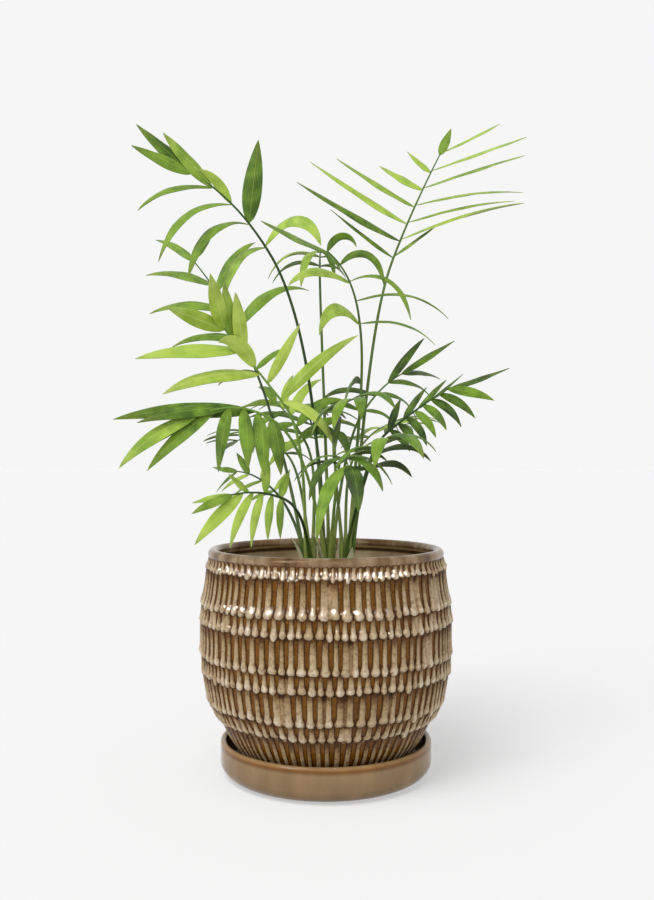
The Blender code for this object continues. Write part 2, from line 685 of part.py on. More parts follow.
main()
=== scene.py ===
"""Looks of the parlour palm: its drop-glazed pot, saucer, soil, canes, stems and leaflets.

A pale studio stands round it. Lengths are in millimetres and are turned to metres where a mesh
is made. Fronds grow by the same rule as the solids, with finer blades.
"""

import math
import random
from collections import namedtuple

import bmesh
import bpy
import numpy as np
from mathutils import Matrix, Vector, noise
from mathutils.bvhtree import BVHTree


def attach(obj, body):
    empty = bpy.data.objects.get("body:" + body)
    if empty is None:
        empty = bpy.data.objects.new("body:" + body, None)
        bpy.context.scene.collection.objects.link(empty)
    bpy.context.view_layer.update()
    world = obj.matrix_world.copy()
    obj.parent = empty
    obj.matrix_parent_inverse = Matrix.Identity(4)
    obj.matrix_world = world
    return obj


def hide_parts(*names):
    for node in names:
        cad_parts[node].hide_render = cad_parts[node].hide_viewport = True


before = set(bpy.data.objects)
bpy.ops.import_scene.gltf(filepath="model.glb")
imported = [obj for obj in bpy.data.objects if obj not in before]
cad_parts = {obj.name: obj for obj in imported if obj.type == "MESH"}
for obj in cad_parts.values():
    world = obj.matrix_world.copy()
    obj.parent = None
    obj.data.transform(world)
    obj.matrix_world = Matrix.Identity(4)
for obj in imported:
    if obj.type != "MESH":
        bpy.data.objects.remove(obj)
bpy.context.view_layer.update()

MM = 0.001
GAP = 0.3  # between two solids
MAIN_SEED = 7
LEAF_SEED = 100  # plus the frond's number
ANY_PHASE = (0, 6)

# Photograph's frame and the camera that fits the pot's and saucer's ellipses
PHOTO_WIDTH, PHOTO_HEIGHT = 654, 900
FOCAL_PX = 948.0
AXIS_PX = 326.0
HORIZON_PX = 461.0
CAMERA_DISTANCE = 0.680
CAMERA_HEIGHT = 0.2213
SENSOR = 36.0

# Steps round a spun piece
POT_TURNS = 180
SAUCER_TURNS = 160
SOIL_TURNS = 144
CANE_TURNS = 32

# Saucer
SAUCER_RADIUS = 75.0
SAUCER_HEIGHT = 25.0
SAUCER_WALL = 4.2
SAUCER_FLOOR = 5.0
SAUCER_FOOT_RADIUS = 62.0
SAUCER_CORNER = 10.0
SAUCER_INNER_CORNER = 6.0
FLOOR_RING, UNDER_RING = 20.0, 30.0  # edges that part its flat floor and flat underside

# Pot: each row of drops ends at this height and radius, and has this many drops
Row = namedtuple("Row", "height radius drops")
POT_ROWS = (
    Row(145.6, 86.7, 104),
    Row(120.9, 90.0, 83),
    Row(108.6, 90.8, 95),
    Row(85.5, 90.3, 84),
    Row(73.3, 88.9, 93),
    Row(52.3, 84.3, 80),
    Row(41.4, 77.6, 84),
)
ROW_STEP = 1.2  # how far behind the drops above it a row starts
ROW_TUCK = 1.4  # how far a row starts up behind the drops above it
FIRST_START = (3.2, 4.8)  # first row's start, outside the rim's middle line and below its top
LAST_END = (1.4, 2.4)  # last row's end, outside the foot and above it
CREST_INSET = 0.6
ROW_BELLY = 1.5  # power by which a row's line swings out towards its drops
POT_TOP = 159.7
POT_RIM_RADIUS = 80.4
POT_RIM_HALF = 3.6
RIM_ROLL = (205, -62, 18)  # first and last angle of the rolled rim, and its steps
RIM_GLAZED = 1.2  # the rim's glaze reaches this far below the roll's middle
POT_LOWER_CURVE = ((70.2, 29.0), (64.5, 20.5), (58.5, 11.8))
POT_FOOT_RADIUS = 57.0
POT_FOOT_DROPS = 75
FOOT_BEVEL = 1.0
POT_WALL = 7.0
POT_BASE = SAUCER_FLOOR + GAP
POT_FLOOR = POT_BASE + 8.0
POT_INNER_CORNER = ((50.0, POT_FLOOR), (60.0, POT_FLOOR + 8.0))
INNER_LIP = 0.4
DRAIN_RADIUS = 7.0
BODY_INSET = 2.3  # how far the plain body lies under the ridges
BODY_RINGS = (0.09, 0.3, 0.6, 0.88)  # where it follows a row's line, from its start to its end
BODY_NECK = 0.6  # how far outside the rim's middle line it stays under the rim
ROW_BACK = 0.975  # a row's back lies at this share of its radius

# Ridges and their drops: powers shape a curve, and pairs are the least and most of a random draw
DROP_COLUMNS, DROP_ROWS = 8, 13
BUNCHED = 1.45  # power that gathers the mesh at the drop
GROOVE = 1.5  # depth between two ridges
ARCH = 3.4  # the first row's grooves open this far below the smooth rim
ARCH_POWER = 0.8
DROP_LENGTH = 9.5
DROP_MOST = 0.72  # of a short row's length
DROP_SWELL = 0.4  # how much prouder a drop is than its ridge
SWELL_TO, SWELL_POWER = 0.68, 1.8  # the drop is full at this share of its length
ROUND_FROM, ROUND_OVER, ROUND_POWER = 0.68, 0.31, 2.2  # the share where its end rounds off
END_POWER = 0.7
DROP_WIDTHS = (0.78, 1.22)
NECKS = (0.52, 0.7)  # ridge's share of the width between two grooves' middles
BELLIES = (0.9, 1.0)  # the same for its drop
LEAST_GIRTH = 0.02
CREST_FLAT, CREST_STEEP = 2.3, 0.75  # powers for a ridge's section
PROUDNESS = (0.85, 1.12)
SWAY = 0.16  # how far a ridge leans to one side halfway down
DROP_UNEVEN = 0.8  # how far one drop hangs lower than the next
LONG_DRIP, LONG_CHANCE = 2.2, 0.04  # how much further the few longest drops ran
ROW_WAVE = 0.5  # how far a whole row rises and falls round the pot
WAVES = (2, 5, 9)  # how often it does so
RUN_CHANCE = 0.07  # share of the grooves that glaze ran into
RUN_WIDTH = 0.4  # of a drop
RUN_FULLNESS = (0.4, 1.0)
RUN_FILL = 0.7  # of the groove's depth, where it is fullest
RUN_START = 4  # it comes in over a row's first fourth

# Glaze on the scale from groove to crest, with painted shade under and between the drops
PALE_FROM, PALE_OVER = 0.15, 0.5  # heights of a ridge's section over which it turns pale
RIDGE_PALE = 0.78  # beside its drop
DROP_TONES = (0.78, 1.0)
RUN_PALE = 0.8
POOLED_AND_SHADE = 0.2  # where glaze pooled at the drops' edges, with painted shade between and under the drops
SHADED_TOP = 9  # painted shade under the drops above, over the first ninth of a row
# Painted shade: rows start darker at the top, under the drops above, along with browner glaze; the
# first row does so in a line under the rim.
ROW_SHADE, SHADE_FADE = 0.4, 1.2  # a row starts this dark, and how fast that fades downwards
RIM_SHADE = 0.3  # the first row starts darker, in a line under the rim

# Soil
SOIL_TOP = 136.0
SOIL_GAP = 0.5
SOIL_EDGE = 80.2
SOIL_RINGS = 40
SOIL_BANK = 6.0  # the lumps fade out over this width at the wall
LUMP_HEIGHT, LUMP_WIDTH = 1.9, 9.0
CRUMBS = 420
CRUMB_REACH = 77.0
CRUMB_SIZES = (0.7, 2.6)
CRUMB_FLAT = 0.6
CRUMB_ROUGH, CRUMB_GRAIN = 0.3, 1.7
CRUMB_RAISED = 0.3  # of its height
PERLITE_SHARE, PERLITE_SIZE = 0.22, 0.7

# Canes and stems
CANE_TOP = 148.0
CANE_FLARE = ((0.0, 0.9), (3.0, 0.3), (8.0, 0.0))
CANE_RINGS = 48
SCAR_SPACING, SCAR_HEIGHT, SCAR_POWER = 7.0, 0.3, 6  # rings where old leaves fell
SCAR_BANDS = 7.15  # scale of the bands that tint a cane
Cane = namedtuple("Cane", "x y radius ring")
CANES = {
    "left": Cane(-12.5, -4.0, 4.6, 3.15),
    "centre": Cane(1.0, 4.5, 4.8, 3.3),
    "right": Cane(15.0, -3.0, 4.5, 3.05),
}
STALK_FOOT = 1.35
STALK_TOP = 0.9
RIB_TIP = 0.5
STALK_POINTS = 8
STALK_UPRIGHT = 1.5
SETTING_OFF = 0.9
ARRIVING = 0.75
RIB_POINTS = 8
FINE_STALK_POINTS, FINE_RIB_POINTS = 30, 20
SHEATH_LENGTH = 30.0  # stretch of a stalk's foot that is swollen to a sheath
SHEATH_SWELL, SHEATH_POWER = 0.7, 1.3
CHANNEL, CHANNEL_POWER = 0.22, 4  # groove along a stem's face
STEM_RINGS = 44
STEM_SIDES = 12
STEM_TINTS = {  # stems darker as painted shade, or light where young; the others are green
    **dict.fromkeys(("upper_left", "left_behind", "lower_right", "front_right"), "dark"),
    **dict.fromkeys(("rim_left", "rim_left_behind", "back"), "dark"),
    **dict.fromkeys(("bright_left", "lower_left", "front"), "light"),
}
STEM_COLOURS = {  # sheath, shaft and tip
    "green": ("#8c9d4e", "#54702c", "#54762f"),
    "dark": ("#5c7430", "#2f4a1c", "#3d6426"),
    "light": ("#a3b35c", "#75963c", "#6b9438"),
}

# Old leaf bases on the canes: turn and width in degrees, height, and lean as a share of height
Sheath = namedtuple("Sheath", "cane turn height lean width")
OLD_SHEATHS = (
    Sheath("left", 205, 19, 0.4, 34),
    Sheath("left", 40, 14, 0.2, 60),
    Sheath("centre", 215, 22, 0.34, 30),
    Sheath("centre", 60, 16, 0.2, 60),
    Sheath("right", 300, 12, 0.15, 40),
    Sheath("right", 120, 18, 0.25, 60),
)
OLD_FOOT = 12.0  # above the soil
OLD_OFF, OLD_THICK = 1.0, 0.5
OLD_TAPER, OLD_LEAST, OLD_CURL = 1.6, 0.03, 1.8
TORN, TEARS = 0.5, 9  # how ragged the torn end is

# Leaflets
LINE_STEPS = 12
LONG_RINGS = (0, 1, 3, 6, 9)
SHORT_RINGS = (0, 2, 5, 9)
SHORT = 48.0
LEAST_WIDTH = 6.0
WIDEST_AT = 0.75
FULLNESS = 0.8
THICK_SHARE = 1 / 85
LEAST_THICK = 0.75
ROOT_THICK = 0.8
TIP_THINNER = 0.5
ROOT_HALF = 0.42
FOLD, FOLD_POWER = 0.2, 1.25
CLEAR = 0.4
NUDGES = (0, 7, -7, 14, -14, 21, -21, 30, -30)
RIB_END = 0.99
STAGGER = 0.015
SPREAD_JITTER = 3.0
LENGTH_JITTER = 0.04
BLADE_THICK = 0.35
BLADE_COLUMNS = 6
BLADE_ROWS = 16
BLADE_LEAST = 0.12
TWIST = 0.35
PLEAT, PLEATS = 0.035, 3  # depth beside half the width, and half waves on each side of the midrib
EDGE_WAVE, EDGE_WAVES = 0.05, 2.2  # the same along the edge, in whole waves
LEAF_TONE = 0.17  # how much one leaflet is lighter or darker than the next
# The darker tint and its darkest finish are partly the leaflets' own deeper green and partly painted
# shade.
LEAF_MIX = {  # finish of each tint's leaflets, from the commonest to the rarest
    "dark": ("leaf_dark", "leaf_dark", "leaf_dark", "leaf_mid"),
    "mid": ("leaf_mid", "leaf_mid", "leaf_mid", "leaf_light"),
    "light": ("leaf_light", "leaf_light", "leaf_mid"),
    "bright": ("leaf_bright", "leaf_bright", "leaf_light"),
}
LEAF_COLOURS = {  # deep and face colour, tip, and underside, which is greyer and in part painted shade
    "leaf_dark": ("#1f3406", "#60821e", "#7d963a", "#4c5936"),
    "leaf_mid": ("#34530b", "#789a2a", "#9aae48", "#626f42"),
    "leaf_light": ("#6a8b22", "#a9c54d", "#c0d070", "#859258"),
    "leaf_bright": ("#86a42e", "#b9cf5c", "#d6df8e", "#9da861"),
}

UP = Vector((0, 0, 1))

# Studio, in metres
WINDOWS = (  # name, direction, width, height and power
    ("left_window", (-0.72, -0.75, 0.6), 0.55, 0.45, 12.0),
    ("front_window", (0.16, -1.0, 0.58), 0.2, 0.35, 3.5),
)
GLINTS = (  # as above, but they only glint on the drops
    ("left_glint", (-0.42, -0.9, 0.64), 0.6, 0.42, 500.0),
    ("front_glint", (0.13, -1.0, 0.64), 0.2, 0.35, 85.0),
)
SUNS = (  # name, direction, irradiance, and angle of softness in degrees
    ("key_sun", (-0.55, -0.7, 1.0), 0.78, 26),
    ("floor_sun", (-0.4, -0.5, 1.15), 5.2, 34),  # falls on the floor alone, for a shadow to one side
)
WINDOW_REACH, SUN_REACH = 2.4, 2.0
AIM_HEIGHT = 0.1
SURROUND = 0.921  # radiance of the pale surround
FLOOR_SIZE = 60
FLOOR_ALBEDO = 0.16
FLOOR_GLOW = 0.485  # the floor is a light table, which keeps shadows faint

# Fronds, as in the solids: a side's tuples are spread evenly over its leaflets. A frond without a
# left side has the right one on both.
Side = namedtuple(
    "Side",
    "count lengths spread droop lift sky first broad",
    defaults=((0,), (0.45,), 0.03, (0.18,)),
)
Frond = namedtuple(
    "Frond",
    "name cane top middle tip right left face lean tint",
    defaults=(None, (0, -1, 0.15), 0.5, "mid"),
)

FRONDS = (
    Frond(
        "upper_left", "centre", (-41.7, -10, 371), (-65.2, -22, 399.5), (-92, -38, 417),
        lean=0.1,
        right=Side(5, lengths=(58, 58, 34, 48, 46), spread=(56, 46, 20, 10, 14),
                   droop=(3.4, 0, 1.2, 0, 0), lift=(5, 0, 0, 8, -8), sky=(0.75, 0, 0.2, 0.3, 0.2),
                   broad=(0.2, 0.24, 0.22, 0.22, 0.22)),
        left=Side(5, lengths=(62, 74, 84, 62, 45), spread=(44, 36, 34, 24, 8),
                  droop=(3, 2.4, 1.9, 1, 0), lift=(25, 25, 20, 10, 0),
                  sky=(0.8, 0.8, 0.75, 0.65, 0.2), broad=(0.18, 0.14, 0.12, 0.14, 0.2)),
    ),
    Frond(
        "upper_right", "right", (49, 15, 369), (66.6, 30, 412), (88.6, 50, 459),
        lean=0.9, tint="light",
        right=Side(7, lengths=(50, 114, 104, 102, 108, 98, 70), spread=(26, 36, 38, 38, 37, 32, 26),
                   droop=(0.1, 0.3, 0.25, 0.3, 0.1, 0.05, 0), lift=(-13, -13, -13, -13, -10, -8, -8),
                   sky=(0.88,), broad=(0.105,)),
        left=Side(7, lengths=(57, 84, 88, 68, 38, 24, 26), spread=(80, 92, 86, 94, 94, 84, 5),
                  droop=(0,), lift=(18, 18, 18, 18, 18, 18, 0),
                  sky=(0.5, 0.5, 0.5, 0.5, 0.3, 0.3, 0.1),
                  broad=(0.11, 0.14, 0.14, 0.16, 0.24, 0.3, 0.28)),
    ),
    Frond(
        "top_centre", "centre", (-4.8, 50, 371), (-4.5, 30, 374), (-4, 8, 372.5), face=(0, -0.3, 1),
        right=Side(3, lengths=(44, 56, 42), spread=(65, 62, 35), droop=(2, 2, 3.6), lift=(20,)),
        left=Side(3, lengths=(26, 24, 32), spread=(70, 60, 35), droop=(2, 2.5, 3.5), lift=(15,)),
    ),
    Frond(
        "inner_right", "right", (24, -12, 316), (16.5, -24, 345), (0.7, -45, 362), lean=0.4,
        right=Side(5, lengths=(58, 72, 64, 46, 28), spread=(84, 84, 78, 84, 80),
                   droop=(1.2, 1.3, 3.1, 4.2, 3.2), lift=(10, -10, 12, -5, 5),
                   sky=(0.75, 0.8, 0.75, 0.65, 0.4), broad=(0.12,)),
        left=Side(3, lengths=(57, 58, 66), spread=(20, 25, 14), droop=(2.6, 1.3, 0),
                  lift=(20, 5, 0), sky=(0.6,)),
    ),
    Frond(
        "bright_left", "left", (-29.7, -25, 261.5), (-51.5, -36, 289), (-68, -50, 309.5),
        tint="bright",
        right=Side(6, lengths=(72, 48, 42, 44, 42, 46), spread=(80, 66, 14, 24, 26, 18),
                   droop=(0.5, 0, 1.5, 0, 0, 0), lift=(5, 10, 10, 15, 5, 5),
                   sky=(0.3, 0.2, 0.2, 0.1, 0.1, 0.2), broad=(0.13, 0.16, 0.26, 0.22, 0.24, 0.26)),
        left=Side(4, lengths=(52, 72, 74, 44), spread=(-130, 45, 42, 26), droop=(1.8, 0.6, 0.3, 0),
                  lift=(10, 15, 10, 0), sky=(0.5, 0.55, 0.5, 0), broad=(0.18, 0.16, 0.16, 0.26)),
    ),
    Frond(
        "left_behind", "left", (-52, 35, 287), (-75.5, 50, 337), (-106, 70, 381),
        right=Side(4, lengths=(33, 72, 54, 34), spread=(60, 52, 48, 60), droop=(0.8, 1.5, 1.2, 0),
                   lift=(0, 0, 5, -15), broad=(0.18, 0.15, 0.18, 0.2)),
        left=Side(5, lengths=(32, 58, 64, 57, 46), spread=(60, 50, 42, 26, 8),
                  droop=(1.2, 0.9, 0.85, 0.7, 0.6), lift=(15, 15, 10, 5, 0)),
    ),
    Frond(
        "lower_left", "centre", (-35.6, -55, 248.5), (-57.3, -70, 255.5), (-81.7, -84, 250),
        right=Side(3, lengths=(90, 62, 60), spread=(-15, 4, 4), droop=(0.3, 0.3, 0.7),
                   lift=(-12, -8, 0), sky=(0.3,), first=0.25, broad=(0.12, 0.16, 0.16)),
        left=Side(6, lengths=(38, 44, 42, 50, 58, 52), spread=(120, 92, 80, 48, 18, 4),
                  droop=(2.6, 2.4, 2.1, 1.3, 0.45, 0.3), lift=(45, 45, 40, 28, 8, 0),
                  sky=(0.3,), broad=(0.3, 0.26, 0.24, 0.17, 0.15, 0.15)),
    ),
    Frond(
        "rim_left", "left", (-28.8, -60, 197), (-43.6, -72, 201), (-59.7, -84, 200),
        tint="light",
        right=Side(4, lengths=(20, 26, 18, 26), spread=(100, 95, 50, 8), droop=(0.2,),
                   lift=(-10,)),
        left=Side(6, lengths=(27, 31, 36, 42, 46, 34), spread=(98, 80, 62, 46, 30, 8),
                  droop=(1.6, 1.8, 1.5, 1, 0.3, 0.2), lift=(15, 15, 12, 6, -4, 0), sky=(0.3,),
                  broad=(0.16, 0.14, 0.12, 0.14, 0.18, 0.18)),
    ),
    Frond(
        "rim_left_behind", "left", (-39, 45, 198), (-55, 62, 209), (-72, 80, 213),
        tint="light",
        right=Side(4, lengths=(20, 22, 30, 34), spread=(80, 60, 30, 2), droop=(0.1,), lift=(0,)),
        left=Side(4, lengths=(24, 28, 28, 26), spread=(50, 45, 35, 40), droop=(0.8,), lift=(15,)),
    ),
    Frond(
        "right_behind", "centre", (28, 38, 258), (43, 52, 277), (60, 66, 290),
        tint="dark",
        right=Side(4, lengths=(42, 50, 54, 50), spread=(34, 24, 18, 6), droop=(1.8, 1.7, 1.1, 0.6),
                   lift=(-10,), broad=(0.16,)),
        left=Side(4, lengths=(34, 48, 52, 58), spread=(100, 116, 12, 0), droop=(0.8, 1.2, 0.3, 0.1),
                  lift=(15,), broad=(0.18, 0.16, 0.13, 0.12)),
    ),
    Frond(
        "lower_right", "right", (44, -8, 242), (64.5, -15, 258), (83.7, -30, 271),
        tint="dark",
        right=Side(8, lengths=(22, 24, 26, 27, 28, 33, 38, 44),
                   spread=(60, 64, 60, 56, 48, 42, 36, 26),
                   droop=(1.2, 1.4, 1.4, 1.2, 1.1, 1, 0.7, 0.3), lift=(15,), sky=(0.25,),
                   broad=(0.2, 0.18, 0.16, 0.15, 0.15, 0.15, 0.15, 0.15)),
        left=Side(5, lengths=(28, 30, 28, 28, 44), spread=(40, 26, 14, 8, -14),
                  droop=(0.6, 0.5, 0.2, 0, 0), lift=(-20, -20, -12, -5, -8), sky=(0.6,)),
    ),
    Frond(
        "front_right", "right", (28, -50, 215), (32.3, -68, 228.4), (37, -90, 234),
        face=(0, -0.4, 1), tint="dark",
        right=Side(3, lengths=(36, 38, 38), spread=(75, 60, 25), droop=(2, 2, 2.4), lift=(20,),
                   broad=(0.26,)),
        left=Side(4, lengths=(38, 42, 46, 46), spread=(75, 62, 44, 22), droop=(1.8, 1.8, 1.8, 1.8),
                  lift=(20,), broad=(0.24,)),
    ),
    Frond(
        "front", "centre", (9, -45, 219), (11, -65, 224), (14, -84, 218), face=(0, -0.4, 1),
        tint="dark",
        right=Side(4, lengths=(36, 40, 47, 60), spread=(75, 66, 56, 46), droop=(1.8, 2, 2.4, 2.6),
                   lift=(20, 20, 20, 14), broad=(0.155,)),
        left=Side(4, lengths=(38, 42, 42, 40), spread=(75, 64, 46, 8), droop=(1.8, 2, 2.2, 2.6),
                  lift=(20,), broad=(0.2, 0.27)),
    ),
    Frond(
        "middle", "right", (7, -2, 240), (12, -14, 259), (22, -34, 264),
        face=(0, -0.5, 1), tint="dark",
        right=Side(5, lengths=(34, 42, 46, 44, 38), spread=(80, 72, 62, 46, 20),
                   droop=(1.4, 1.8, 2.2, 2.2, 1.8), lift=(18,), sky=(0.3,), broad=(0.22,)),
        left=Side(5, lengths=(36, 42, 44, 42, 38), spread=(80, 72, 62, 48, 26),
                  droop=(1.4, 1.8, 2, 2, 1.8), lift=(18,), sky=(0.3,), broad=(0.22,)),
    ),
    Frond(
        "middle_left", "left", (-15.5, 16, 236), (-27, 22, 254), (-38, 34, 265), lean=0.3,
        right=Side(5, lengths=(36, 42, 42, 38, 34), spread=(70, 64, 58, 46, 20),
                   droop=(1.4, 1.4, 1.3, 1.2, 0.9), lift=(8,), sky=(0.3,), broad=(0.2,)),
        left=Side(4, lengths=(34, 40, 38, 32), spread=(70, 60, 50, 20),
                  droop=(1.4, 1.4, 1.2, 0.9), lift=(12,), sky=(0.3,), broad=(0.2,)),
    ),
    Frond(
        "back", "centre", (-8, 60, 238), (-16, 92, 262), (-24, 126, 268), face=(0, 0.3, 1),
        tint="dark",
        right=Side(6, lengths=(44, 54, 58, 54, 48, 40), spread=(70, 64, 58, 50, 38, 18),
                   droop=(0.8, 1, 1, 1, 0.9, 0.6), lift=(12,)),
    ),
    Frond(
        "back_right", "right", (24, 60, 228), (44, 88, 248), (66, 116, 252), face=(0, 0.3, 1),
        right=Side(5, lengths=(36, 46, 48, 42, 36), spread=(68, 60, 54, 42, 18),
                   droop=(0.9, 1, 1, 0.8, 0.5), lift=(12,)),
    ),
    Frond(
        "back_left", "left", (-30, 55, 226), (-50, 82, 240), (-74, 106, 238), face=(0, 0.3, 1),
        right=Side(5, lengths=(34, 44, 46, 40, 34), spread=(68, 60, 54, 42, 18),
                   droop=(0.9, 1, 1, 0.8, 0.5), lift=(12,)),
    ),
)


def along(values, share):
    """The value at this share of the way through an evenly spread tuple."""
    place = share * (len(values) - 1)
    low = min(int(place), len(values) - 2) if len(values) > 1 else 0
    high = min(low + 1, len(values) - 1)
    return values[low] + (values[high] - values[low]) * (place - low)


def across_of(vector, axis):
    """The part of a vector that is square to an axis, at unit length."""
    return (vector - axis * vector.dot(axis)).normalized()


def evenly(count):
    """This many even steps from 0 to 1."""
    return [i / (count - 1) for i in range(count)]


def hermite(start, start_run, end, end_run, t):
    """The point at t on the smooth curve between two ends with the given run at each."""
    return (
        start * (2 * t**3 - 3 * t**2 + 1)
        + start_run * (t**3 - 2 * t**2 + t)
        + end * (3 * t**2 - 2 * t**3)
        + end_run * (t**3 - t**2)
    )


def rib_line(frond, count=RIB_POINTS):
    """Points on the one arc from the stalk's top through the rib's middle to its tip."""
    top, middle, tip = (Vector(p) for p in (frond.top, frond.middle, frond.tip))
    pull = middle * 2 - (top + tip) / 2
    return [top * (1 - t) ** 2 + pull * 2 * t * (1 - t) + tip * t**2 for t in evenly(count)]


def stalk_feet():
    """Where each stalk stands on its cane, in a ring ordered by the way the fronds lean."""
    feet = {}
    for name, cane in CANES.items():
        mine = [frond for frond in FRONDS if frond.cane == name]
        leans = {f.name: math.atan2(f.top[1] - cane.y, f.top[0] - cane.x) for f in mine}
        order = sorted(leans, key=leans.get)
        step = math.tau / len(order)
        offset = sum(leans[n] - step * i for i, n in enumerate(order)) / len(order)
        for i, frond_name in enumerate(order):
            x = cane.x + cane.ring * math.cos(offset + step * i)
            y = cane.y + cane.ring * math.sin(offset + step * i)
            feet[frond_name] = Vector((x, y, CANE_TOP + GAP))
    return feet


def stalk_line(frond, foot, count=STALK_POINTS):
    """Points from the stalk's foot on the cane up to the rib's start, which it meets in line."""
    rib = rib_line(frond)
    heading = (rib[1] - rib[0]).normalized()
    end = rib[0] - heading * GAP
    start = foot + UP * STALK_UPRIGHT
    reach = (end - start).length
    setting_off = UP.lerp((end - start) / reach, frond.lean) * reach * SETTING_OFF
    arriving = heading * reach * ARRIVING
    return [foot] + [hermite(start, setting_off, end, arriving, t) for t in evenly(count)]


def taper(first, last, count):
    return [first + (last - first) * i / (count - 1) for i in range(count)]


def rib_at(line, share):
    """The point and heading at this share of the rib."""
    place = share * (len(line) - 1)
    low = min(int(place), len(line) - 2)
    before, after = line[low], line[low + 1]
    return before.lerp(after, place - low), (after - before).normalized()


def leaf_line(root, heading, face, length, droop):
    """The blade's middle line as (point, heading, side, normal), which bends towards the ground.

    The bend grows along the blade, and droop is its mean for the whole length.
    """
    heading = heading.normalized()
    normal = across_of(face, heading)
    point = root.copy()
    stations = [(point.copy(), heading, heading.cross(normal), normal)]
    for i in range(LINE_STEPS):
        pull = droop * (0.5 + (i + 0.5) / LINE_STEPS) / LINE_STEPS
        heading = (heading - UP * pull).normalized()
        normal = across_of(normal, heading)
        point = point + heading * (length / LINE_STEPS)
        stations.append((point.copy(), heading, heading.cross(normal), normal))
    return stations


def half_width(share, width):
    """Half the blade's width at this share of its length, never under its root's."""
    half = 0.5 * width * math.sin(math.pi * share**WIDEST_AT) ** FULLNESS
    return max(half, ROOT_HALF) if share < 0.5 else half


def blade_outline(line, length, width, grow=0.0, start=0):
    """Points and faces of the plain leaflet that places are kept clear by, as the solid has it."""
    thick = max(length * THICK_SHARE, LEAST_THICK)
    rings = (SHORT_RINGS if length < SHORT else LONG_RINGS)[start:]
    points = []
    for ring in rings:
        centre, _, side, normal = line[ring]
        share = ring / LINE_STEPS
        half = half_width(share, width) + grow
        deep = 0.5 * thick * (1 - TIP_THINNER * share) * (ROOT_THICK if ring == 0 else 1) + grow
        drop = normal * (half * FOLD)
        points += [centre - side * half - drop, centre + normal * deep]
        points += [centre + side * half - drop, centre - normal * deep]
    faces = [(3, 2, 1, 0)]
    last = 4 * (len(rings) - 1)
    for i in range(0, last, 4):
        for j in range(4):
            a, b = i + j, i + (j + 1) % 4
            far_a, far_b = a + 4, b + 4
            if j % 2 == 0:
                faces += [(a, b, far_b), (a, far_b, far_a)]
            else:
                faces += [(a, b, far_a), (b, far_b, far_a)]
    points.append(line[-1][0] + line[-1][1] * grow)
    faces += [(last + j, last + (j + 1) % 4, last + 4) for j in range(4)]
    return points, faces


def box_of(points):
    low = Vector([min(p[i] for p in points) for i in range(3)])
    high = Vector([max(p[i] for p in points) for i in range(3)])
    return low, high


def obstacle(points, faces):
    """The shape's box and its search tree."""
    low, high = box_of(points)
    return low, high, BVHTree.FromPolygons(points, faces)


def meets(points, faces, obstacles):
    """Whether this shape crosses the surface of any of the obstacles."""
    low, high = box_of(points)
    tree = None
    for other_low, other_high, other in obstacles:
        if any(low[i] > other_high[i] or high[i] < other_low[i] for i in range(3)):
            continue
        tree = tree or BVHTree.FromPolygons(points, faces)
        if tree.overlap(other):
            return True
    return False


def tube_shape(points, radii, sides=6):
    """Points and faces of a round limb, for keeping leaflets clear of it."""
    rings = []
    faces = []
    turns = [math.tau * j / sides for j in range(sides)]
    last = len(points) - 1
    for i, (point, radius) in enumerate(zip(points, radii)):
        heading = (points[min(i + 1, last)] - points[max(i - 1, 0)]).normalized()
        first = across_of(Vector((1, 0.3, 0.1)), heading)
        second = heading.cross(first)
        rings += [point + (first * math.cos(a) + second * math.sin(a)) * radius for a in turns]
        if i < last:
            this = [i * sides + j for j in range(sides)]
            faces += [(a, b, b + sides, a + sides) for a, b in zip(this, this[1:] + this[:1])]
    return rings, faces


def leaflets_of(frond, obstacles, rng):
    """The frond's leaflets as (line, length, width). One that can't be turned clear is left out."""
    line = rib_line(frond)
    found = []
    own = []
    for sign, side, lower in ((1, frond.right, 0), (-1, frond.left or frond.right, STAGGER)):
        for i in range(side.count):
            share = i / (side.count - 1)
            root, heading = rib_at(line, side.first + (RIB_END - side.first) * share - lower)
            face = across_of(Vector(frond.face), heading)
            out = heading.cross(face) * sign
            spread = along(side.spread, share) + rng.uniform(-SPREAD_JITTER, SPREAD_JITTER)
            length = along(side.lengths, share) * (1 + rng.uniform(-LENGTH_JITTER, LENGTH_JITTER))
            width = max(along(side.broad, share) * length, LEAST_WIDTH)
            turn = math.radians(spread)
            flat = heading * math.cos(turn) + out * math.sin(turn)
            sky = along(side.sky, share)
            for nudge in NUDGES:
                lift = math.radians(along(side.lift, share) + nudge)
                ahead = flat * math.cos(lift) + face * math.sin(lift)
                looks = face * (1 - sky) + UP * sky
                stations = leaf_line(root, ahead, looks, length, along(side.droop, share))
                test = blade_outline(stations, length, width, CLEAR, 1)
                if not meets(*test, obstacles) and not meets(*test, own):
                    found.append((stations, length, width))
                    own.append(obstacle(*blade_outline(stations, length, width, 0, 1)))
                    break
    return found


def grown():
    """Every frond's leaflets, placed one frond after another as in the solids."""
    feet = stalk_feet()
    rib_radii = taper(STALK_TOP, RIB_TIP, RIB_POINTS)
    obstacles = []
    ribs = {}
    for frond in FRONDS:
        line = stalk_line(frond, feet[frond.name])
        obstacles.append(obstacle(*tube_shape(line, taper(STALK_FOOT, STALK_TOP, len(line)))))
        ribs[frond.name] = obstacle(*tube_shape(rib_line(frond), rib_radii))
    leaves = {}
    for i, frond in enumerate(FRONDS):
        others = [shape for name, shape in ribs.items() if name != frond.name]
        leaves[frond.name] = leaflets_of(frond, obstacles + others, random.Random(i))
        obstacles += [obstacle(*blade_outline(*leaflet)) for leaflet in leaves[frond.name]]
    return leaves


# Finishes


def linear(code):
    """An sRGB hex colour as linear red, green, blue and alpha."""
    parts = [int(code[i : i + 2], 16) / 255 for i in (1, 3, 5)]
    return (*[c / 12.92 if c <= 0.04045 else ((c + 0.055) / 1.055) ** 2.4 for c in parts], 1)


